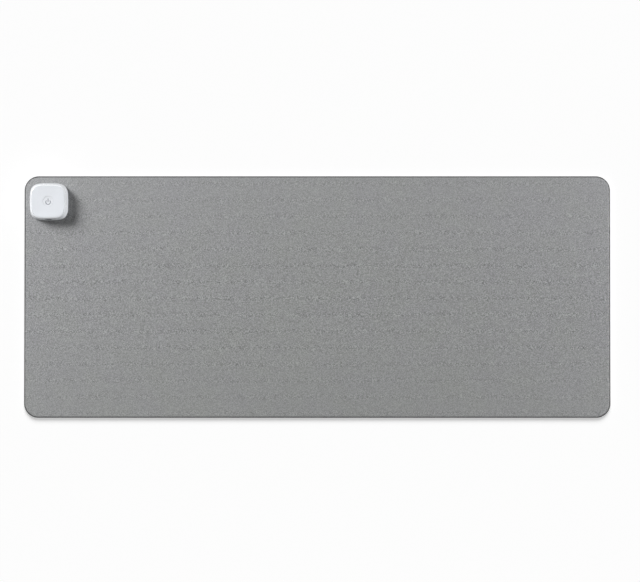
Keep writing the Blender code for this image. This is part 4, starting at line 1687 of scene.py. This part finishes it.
    def fit_panel(self) -> None:
        """The face panel: a thin dished plate with eased edges and a hole for the button."""
        low, top = Box.of("face_panel").low.z, Box.of("face_panel").high.z
        gap = self.top_rounding + self.rim + self.panel_gap
        corner = eased(self.panel_ease, self.panel_ease_steps)
        rings = [self.top_ring(low, gap)]
        rings += [self.top_ring(top - drop, gap + inset) for inset, drop in corner[:-1]]
        outer = self.top_ring(top, gap + self.panel_ease)
        inner = self.button_ring(self.hole_radius + self.panel_ease, top)
        hole_share = self.hole_radius / (outer[0][0] - self.centre[0])
        for i in range(self.dish_steps + 1):
            inward = i / self.dish_steps
            out_share = 1 - (1 - hole_share) * inward
            sunk = Vector((0, 0, self.panel_dish * (1 - out_share**2) / (1 - hole_share**2)))
            pairs = zip(outer, inner)
            rings.append([tuple(Vector(a).lerp(Vector(b), inward) - sunk) for a, b in pairs])
        for inset, drop in corner[-2::-1]:
            height = top - self.panel_dish - drop
            rings.append(self.button_ring(self.hole_radius + inset, height))
        rings.append(self.button_ring(self.hole_radius, low))
        plate = skin("face_plate", rings, loop=True)
        self.keep(plate, self.finishes.panel, "face_panel", sharp_from=32)

    def lay_gasket(self) -> None:
        """The foam gasket, squeezed so that its rim bulges."""
        box = Box.of("controller_gasket")
        bulge, middle = box.half.z, box.middle.z
        rings = []
        for i in range(self.gasket_rings + 1):
            turn = pi * (i / self.gasket_rings - 0.5)
            outline = squircle(box.drawn_in(bulge * (1 - cos(turn))), self.power, self.steps)
            rings.append(raised(outline, middle + bulge * sin(turn), box.plan))
        gasket = carve(skin("foam_gasket", rings), holes_through(box.low.z, box.high.z))
        self.keep(gasket, self.finishes.gasket, "controller_gasket")

    def fit_plate(self) -> None:
        """The plate under the mat, with eased edges, countersinks and slots to grip it by."""
        box, ease = Box.of("clamp_plate"), self.plate_ease
        low, high = box.low.z, box.high.z
        rings = []
        for inset, height in ((ease, low), (0.0, low + ease), (0.0, high - ease), (ease, high)):
            outline = rounded_rectangle(box.drawn_in(inset), self.plate_corner - inset, steps=12)
            rings.append(raised(outline, height, box.plan))
        plate = skin("mat_clamp", rings)
        cutters = []
        for node in CASE_SCREWS:
            screw = Box.of(node)
            wide = screw.half.x + self.sink_slack
            profile = [(0.0, high + CUT_OVERRUN), (SCREW_BORE, high + CUT_OVERRUN)]
            profile += [(SCREW_BORE, low + self.sink_depth), (wide, low)]
            profile += [(wide, low - CUT_OVERRUN), (0.0, low - CUT_OVERRUN)]
            cutters.append(turned("countersink", profile, steps=48, centre=screw.plan))
        for number in range(-self.grip_pairs, self.grip_pairs + 1):
            centre = (box.middle.x, box.middle.y + number * self.grip_pitch)
            slot = rounded_rectangle(self.grip_half, self.grip_corner, steps=6, centre=centre)
            cutters.append(slab("grip_slot", slot, low - CUT_OVERRUN, low + self.grip_depth))
        self.keep(carve(plate, cutters), self.finishes.plate, "clamp_plate")


@dataclass
class CaseScrews(Assembly):
    """The countersunk screws that come up through the plate and the mat into the bosses."""

    drive: Drive = Drive.CROSS
    head_height: float = 0.0009
    head_rim: float = 0.00008
    head_flat: float = 0.9
    thread_radius: float = 0.00125
    core_share: float = 0.80
    thread_pitch: float = 0.0009
    thread_steps: int = 6
    point_length: float = 1.5
    point_share: float = 0.15
    slot_reach: float = 0.62
    slot_width: float = 0.0006
    slot_depth: float = 0.0006
    turn_each: float = 0.7
    steps: int = 24

    def build(self) -> None:
        """Cuts one screw and stands a copy of it in each boss, each turned differently."""
        boxes = [Box.of(node) for node in CASE_SCREWS]
        form = self.cut_one(boxes[0].half.x, boxes[0].height)
        shape = Shape("case screws", self.finishes.steel, Screw=form, Turn=self.turn_each)
        number = shape.wire("GeometryNodeInputIndex")
        turn = shape.calc("MULTIPLY", number, shape.given["Turn"])
        spin = shape.wire("ShaderNodeCombineXYZ", {"Z": turn})
        copies = shape.copied(shape.form("Screw"), Rotation=spin)
        screws = shape.run("case_screws", copies, [(*box.plan, box.low.z) for box in boxes])
        self.keep(screws, self.finishes.steel, *CASE_SCREWS, sharp_from=30)

    def cut_one(self, head_radius: float, length: float) -> Piece:
        """One screw with its head down on z = 0: a cone head, a helical thread and a point.

        Args:
            head_radius: The head's radius.
            length: The whole screw's length.

        Returns:
            The screw.
        """
        thread, core = self.thread_radius, self.thread_radius * self.core_share
        shank = length - self.head_height
        levels = int(shank / self.thread_pitch * self.thread_steps)
        head = [(POLE, 0.0), (self.head_flat * head_radius, 0.0), (head_radius, self.head_rim)]
        head.append((core, self.head_height))
        rings = [raised(circle(radius, self.steps), height) for radius, height in head]
        for i in range(1, levels + 1):
            height = self.head_height + shank * i / (levels + 1)
            taper = min(1.0, (length - height) / (self.point_length * thread))
            ring: Ring = []
            for step in range(self.steps):
                turn = FULL_TURN * step / self.steps
                wound = FULL_TURN * (height - self.head_height) / self.thread_pitch
                ridge = max(0.0, cos(turn - wound))
                radius = (core + (thread - core) * ridge) * max(self.point_share, taper)
                ring.append((radius * cos(turn), radius * sin(turn), height))
            rings.append(ring)
        rings.append(raised(circle(POLE, self.steps), length))
        screw = skin("screw_form", rings)
        half = (head_radius * self.slot_reach, self.slot_width / 2)
        slot = rounded_rectangle(half, self.slot_width / 3, steps=3)
        blades = []
        for number in range(self.drive.value):
            blades.append(slab("drive_cutter", slot, -CUT_OVERRUN, self.slot_depth))
            blades[-1].data.transform(Matrix.Rotation(QUARTER_TURN * number, 4, "Z"))
        return carve(screw, blades)


# The button
@dataclass
class PushButton(Assembly):
    """The dished push button with the power symbol let into its dish."""

    body: Body = Body.BUTTON
    dish_depth: float = 0.0002
    dish_rings: int = 16
    edge: float = 0.0002
    edge_rings: int = 6
    flange_width: float = 0.0014
    flange_height: float = 0.0010
    flange_ease: float = 0.00015
    symbol_drop: float = 0.0011
    ring_radius: float = 0.0031
    stroke: float = 0.0010
    ring_steps: int = 64
    gap: float = 46.0
    bar: Span = (0.0004, 0.0050)
    bar_steps: int = 12
    proud: float = 0.00001
    inlay: float = 0.00025
    steps: int = 128

    def __post_init__(self) -> None:
        """Takes the button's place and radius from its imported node."""
        self.box = Box.of("power_button")
        self.radius = self.box.half.x - self.flange_width
        self.centre = self.box.plan

    def dish(self, out: float) -> float:
        """The height of the dish at a distance from its middle."""
        share = out / (self.radius - self.edge)
        return self.box.high.z - self.dish_depth * (1 - share**2)

    def build(self) -> None:
        """Makes the cap and its symbol."""
        self.turn_cap()
        self.inlay_symbol()
        dress_nodes(self.finishes.plate, "switch_plunger")

    def turn_cap(self) -> None:
        """The cap: a dish, a rolled edge, a barrel and the flange that keeps it in."""
        low, high = self.box.low.z, self.box.high.z
        rim, ease = self.radius - self.edge, self.flange_ease
        outs = [rim * i / self.dish_rings for i in range(self.dish_rings + 1)]
        profile = [(out, self.dish(out)) for out in outs]
        for i in range(1, self.edge_rings + 1):
            turn = QUARTER_TURN * i / self.edge_rings
            profile.append((rim + self.edge * sin(turn), high - self.edge * (1 - cos(turn))))
        flange, shoulder = self.radius + self.flange_width, low + self.flange_height
        profile += [(self.radius, shoulder), (flange - ease, shoulder), (flange, shoulder - ease)]
        profile += [(flange, low + ease), (flange - ease, low), (0.0, low)]
        cap = turned("push_button", profile, self.steps, self.centre)
        self.keep(cap, self.finishes.button, "power_button", sharp_from=32)

    def inlay_symbol(self) -> None:
        """A broken ring and a bar, swept along their lines and sunk into the dish."""
        points = arc((0, 0), self.ring_radius, 90 + self.gap, 450 - self.gap, self.ring_steps)
        (start, end), steps = self.bar, self.bar_steps
        points += [(0, start + (end - start) * i / steps) for i in range(steps + 1)]
        rise, drop = self.proud - self.inlay / 2, Vector((0, self.symbol_drop, 0))
        places = []
        for x, y in points:
            spot = Vector((x, y, 0)) - drop
            height = self.dish(spot.length) + rise
            places.append((spot.x + self.centre[0], spot.y + self.centre[1], height))
        ring_points = self.ring_steps + 1
        edges = [*chain(ring_points), *chain(steps + 1, ring_points)]
        look = self.finishes.symbol
        shape = Shape("symbol inlay", look, Stroke=self.stroke, Depth=self.inlay, Points=40)
        section = {"Curve": shape.oblong("Stroke", "Depth"), "Count": shape.given["Points"]}
        fine = shape.wire("GeometryNodeResampleCurve", section)
        symbol = shape.run("power_symbol", shape.swept(fine), places, edges)
        self.seat_on_dish(symbol.data)
        self.keep(facing_out(symbol), look)

    def seat_on_dish(self, mesh: bpy.types.Mesh) -> None:
        """Bends the inlay's upper face to the dish, so that its edges don't stand proud.

        Args:
            mesh: The symbol's mesh.
        """
        for vertex in mesh.vertices:
            out = hypot(vertex.co.x - self.centre[0], vertex.co.y - self.centre[1])
            surface = self.dish(out)
            upper = vertex.co.z > surface - self.inlay / 2
            vertex.co.z = surface + self.proud if upper else surface + self.proud - self.inlay


# The electronics
@dataclass
class Electronics(Assembly):
    """The circuit board with what is soldered to it, the socket, the leads and the sensor."""

    shell_wall: float = 0.0003
    lip: float = 0.00012
    lip_steps: int = 3
    tongue_half: float = 0.00035
    tongue_tip: float = 0.0004
    contacts: int = 12
    contact_pitch: float = 0.0005
    contact: Spot = (0.00026, 0.0028, 0.00006)
    lead_radius: float = 0.0007
    lead_bow: float = 0.0008
    lead_steps: int = 24

    def build(self) -> None:
        """Makes the socket and the leads, and finishes what lies on the board."""
        looks = self.finishes
        self.draw_socket()
        self.plate_contacts()
        self.run_lead("heater_lead_live", "live_lead", looks.live)
        self.run_lead("heater_lead_return", "return_lead", looks.back)
        dress_nodes(looks.board, "circuit_board")
        dress_nodes(looks.black, "control_chip", "power_transistor", "tactile_switch")
        dress_nodes(looks.black, "usb_c_tongue")
        dress_nodes(looks.steel, "board_screw_1", "board_screw_2")
        dress_nodes(looks.lens, "status_led")
        dress_nodes(looks.bead, "temperature_sensor")

    def draw_socket(self) -> None:
        """The socket's drawn shell, with a rolled lip at its mouth."""
        box, lip, wall = Box.of("usb_c_shell"), self.lip, self.shell_wall
        mouth, root = box.low.y, box.high.y
        section = [(0.0, root)]
        section += [(inset, mouth + drop) for inset, drop in eased(lip, self.lip_steps)]
        section += [(wall - lip / 2, mouth), (wall, mouth + lip / 2), (wall, root)]
        centre = (box.middle.x, box.middle.z)
        rings = []
        for inset, y in section:
            half = (box.half.x - inset, box.half.z - inset)
            rings.append(upright(oval(half, steps=16, centre=centre), y))
        shell = skin("socket_shell", rings, loop=True)
        self.keep(shell, self.finishes.steel, "usb_c_shell")

    def plate_contacts(self) -> None:
        """Two rows of gold-coloured contacts, over and under the socket's tongue."""
        tongue, (wide, long, thick) = Box.of("usb_c_tongue"), self.contact
        outline = rounded_rectangle((wide / 2, long / 2), wide / 4, steps=2)
        sizes = {"Contact": slab("contact_form", outline, -thick / 2, thick / 2)}
        sizes |= {"Count": self.contacts, "Pitch": self.contact_pitch}
        start = tongue.middle.x - self.contact_pitch * (self.contacts - 1) / 2
        middle_y = tongue.low.y + self.tongue_tip + long / 2
        sides = [tongue.middle.z + side * self.tongue_half for side in (-1, 1)]
        shape = Shape("socket contacts", self.finishes.brass, **sizes)
        step = shape.wire("ShaderNodeCombineXYZ", {"X": shape.given["Pitch"]})
        spots = shape.wire("GeometryNodeMeshLine", {"Count": shape.given["Count"], "Offset": step})
        rows = shape.copied(shape.copied(shape.form("Contact"), spots))
        pads = shape.run("socket_contacts", rows, [(start, middle_y, side) for side in sides])
        self.keep(pads, self.finishes.brass)

    def run_lead(self, node: str, name: str, look: Finish) -> None:
        """A short insulated lead, swept from its eyelet up to the board.

        Args:
            node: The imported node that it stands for.
            name: The piece's name.
            look: Its finish.
        """
        box = Box.of(node)
        start = box.low.x + self.lead_radius
        path = []
        for i in range(self.lead_steps + 1):
            up = i / self.lead_steps
            bow = self.lead_bow * sin(pi * up) ** 2
            path.append((start + bow, box.middle.y, box.low.z + box.height * up))
        shape = Shape("swept lead", look, Radius=self.lead_radius, Steps=20)
        section = {"Resolution": shape.given["Steps"], "Radius": shape.given["Radius"]}
        tube = shape.swept(shape.wire("GeometryNodeCurvePrimitiveCircle", section), upright=False)
        lead = shape.run(name, tube, path, chain(len(path)))
        self.keep(facing_out(lead), look, node)


def main() -> None:
    """Builds the mat, its controller and the studio round them."""
    logging.basicConfig(level=logging.INFO, format="%(name)s: %(message)s")
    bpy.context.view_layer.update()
    finishes = Finishes()
    shown = list(frame["nodes"].values())
    for kind in (Mat, Housing, CaseScrews, PushButton, Electronics):
        assembly = kind(finishes)
        assembly.build()
        shown += assembly.pieces
        LOG.info("%s: %d new pieces", kind.__name__, len(assembly.pieces))
    Studio().build(shown)


if __name__ == "__main__":
    main()
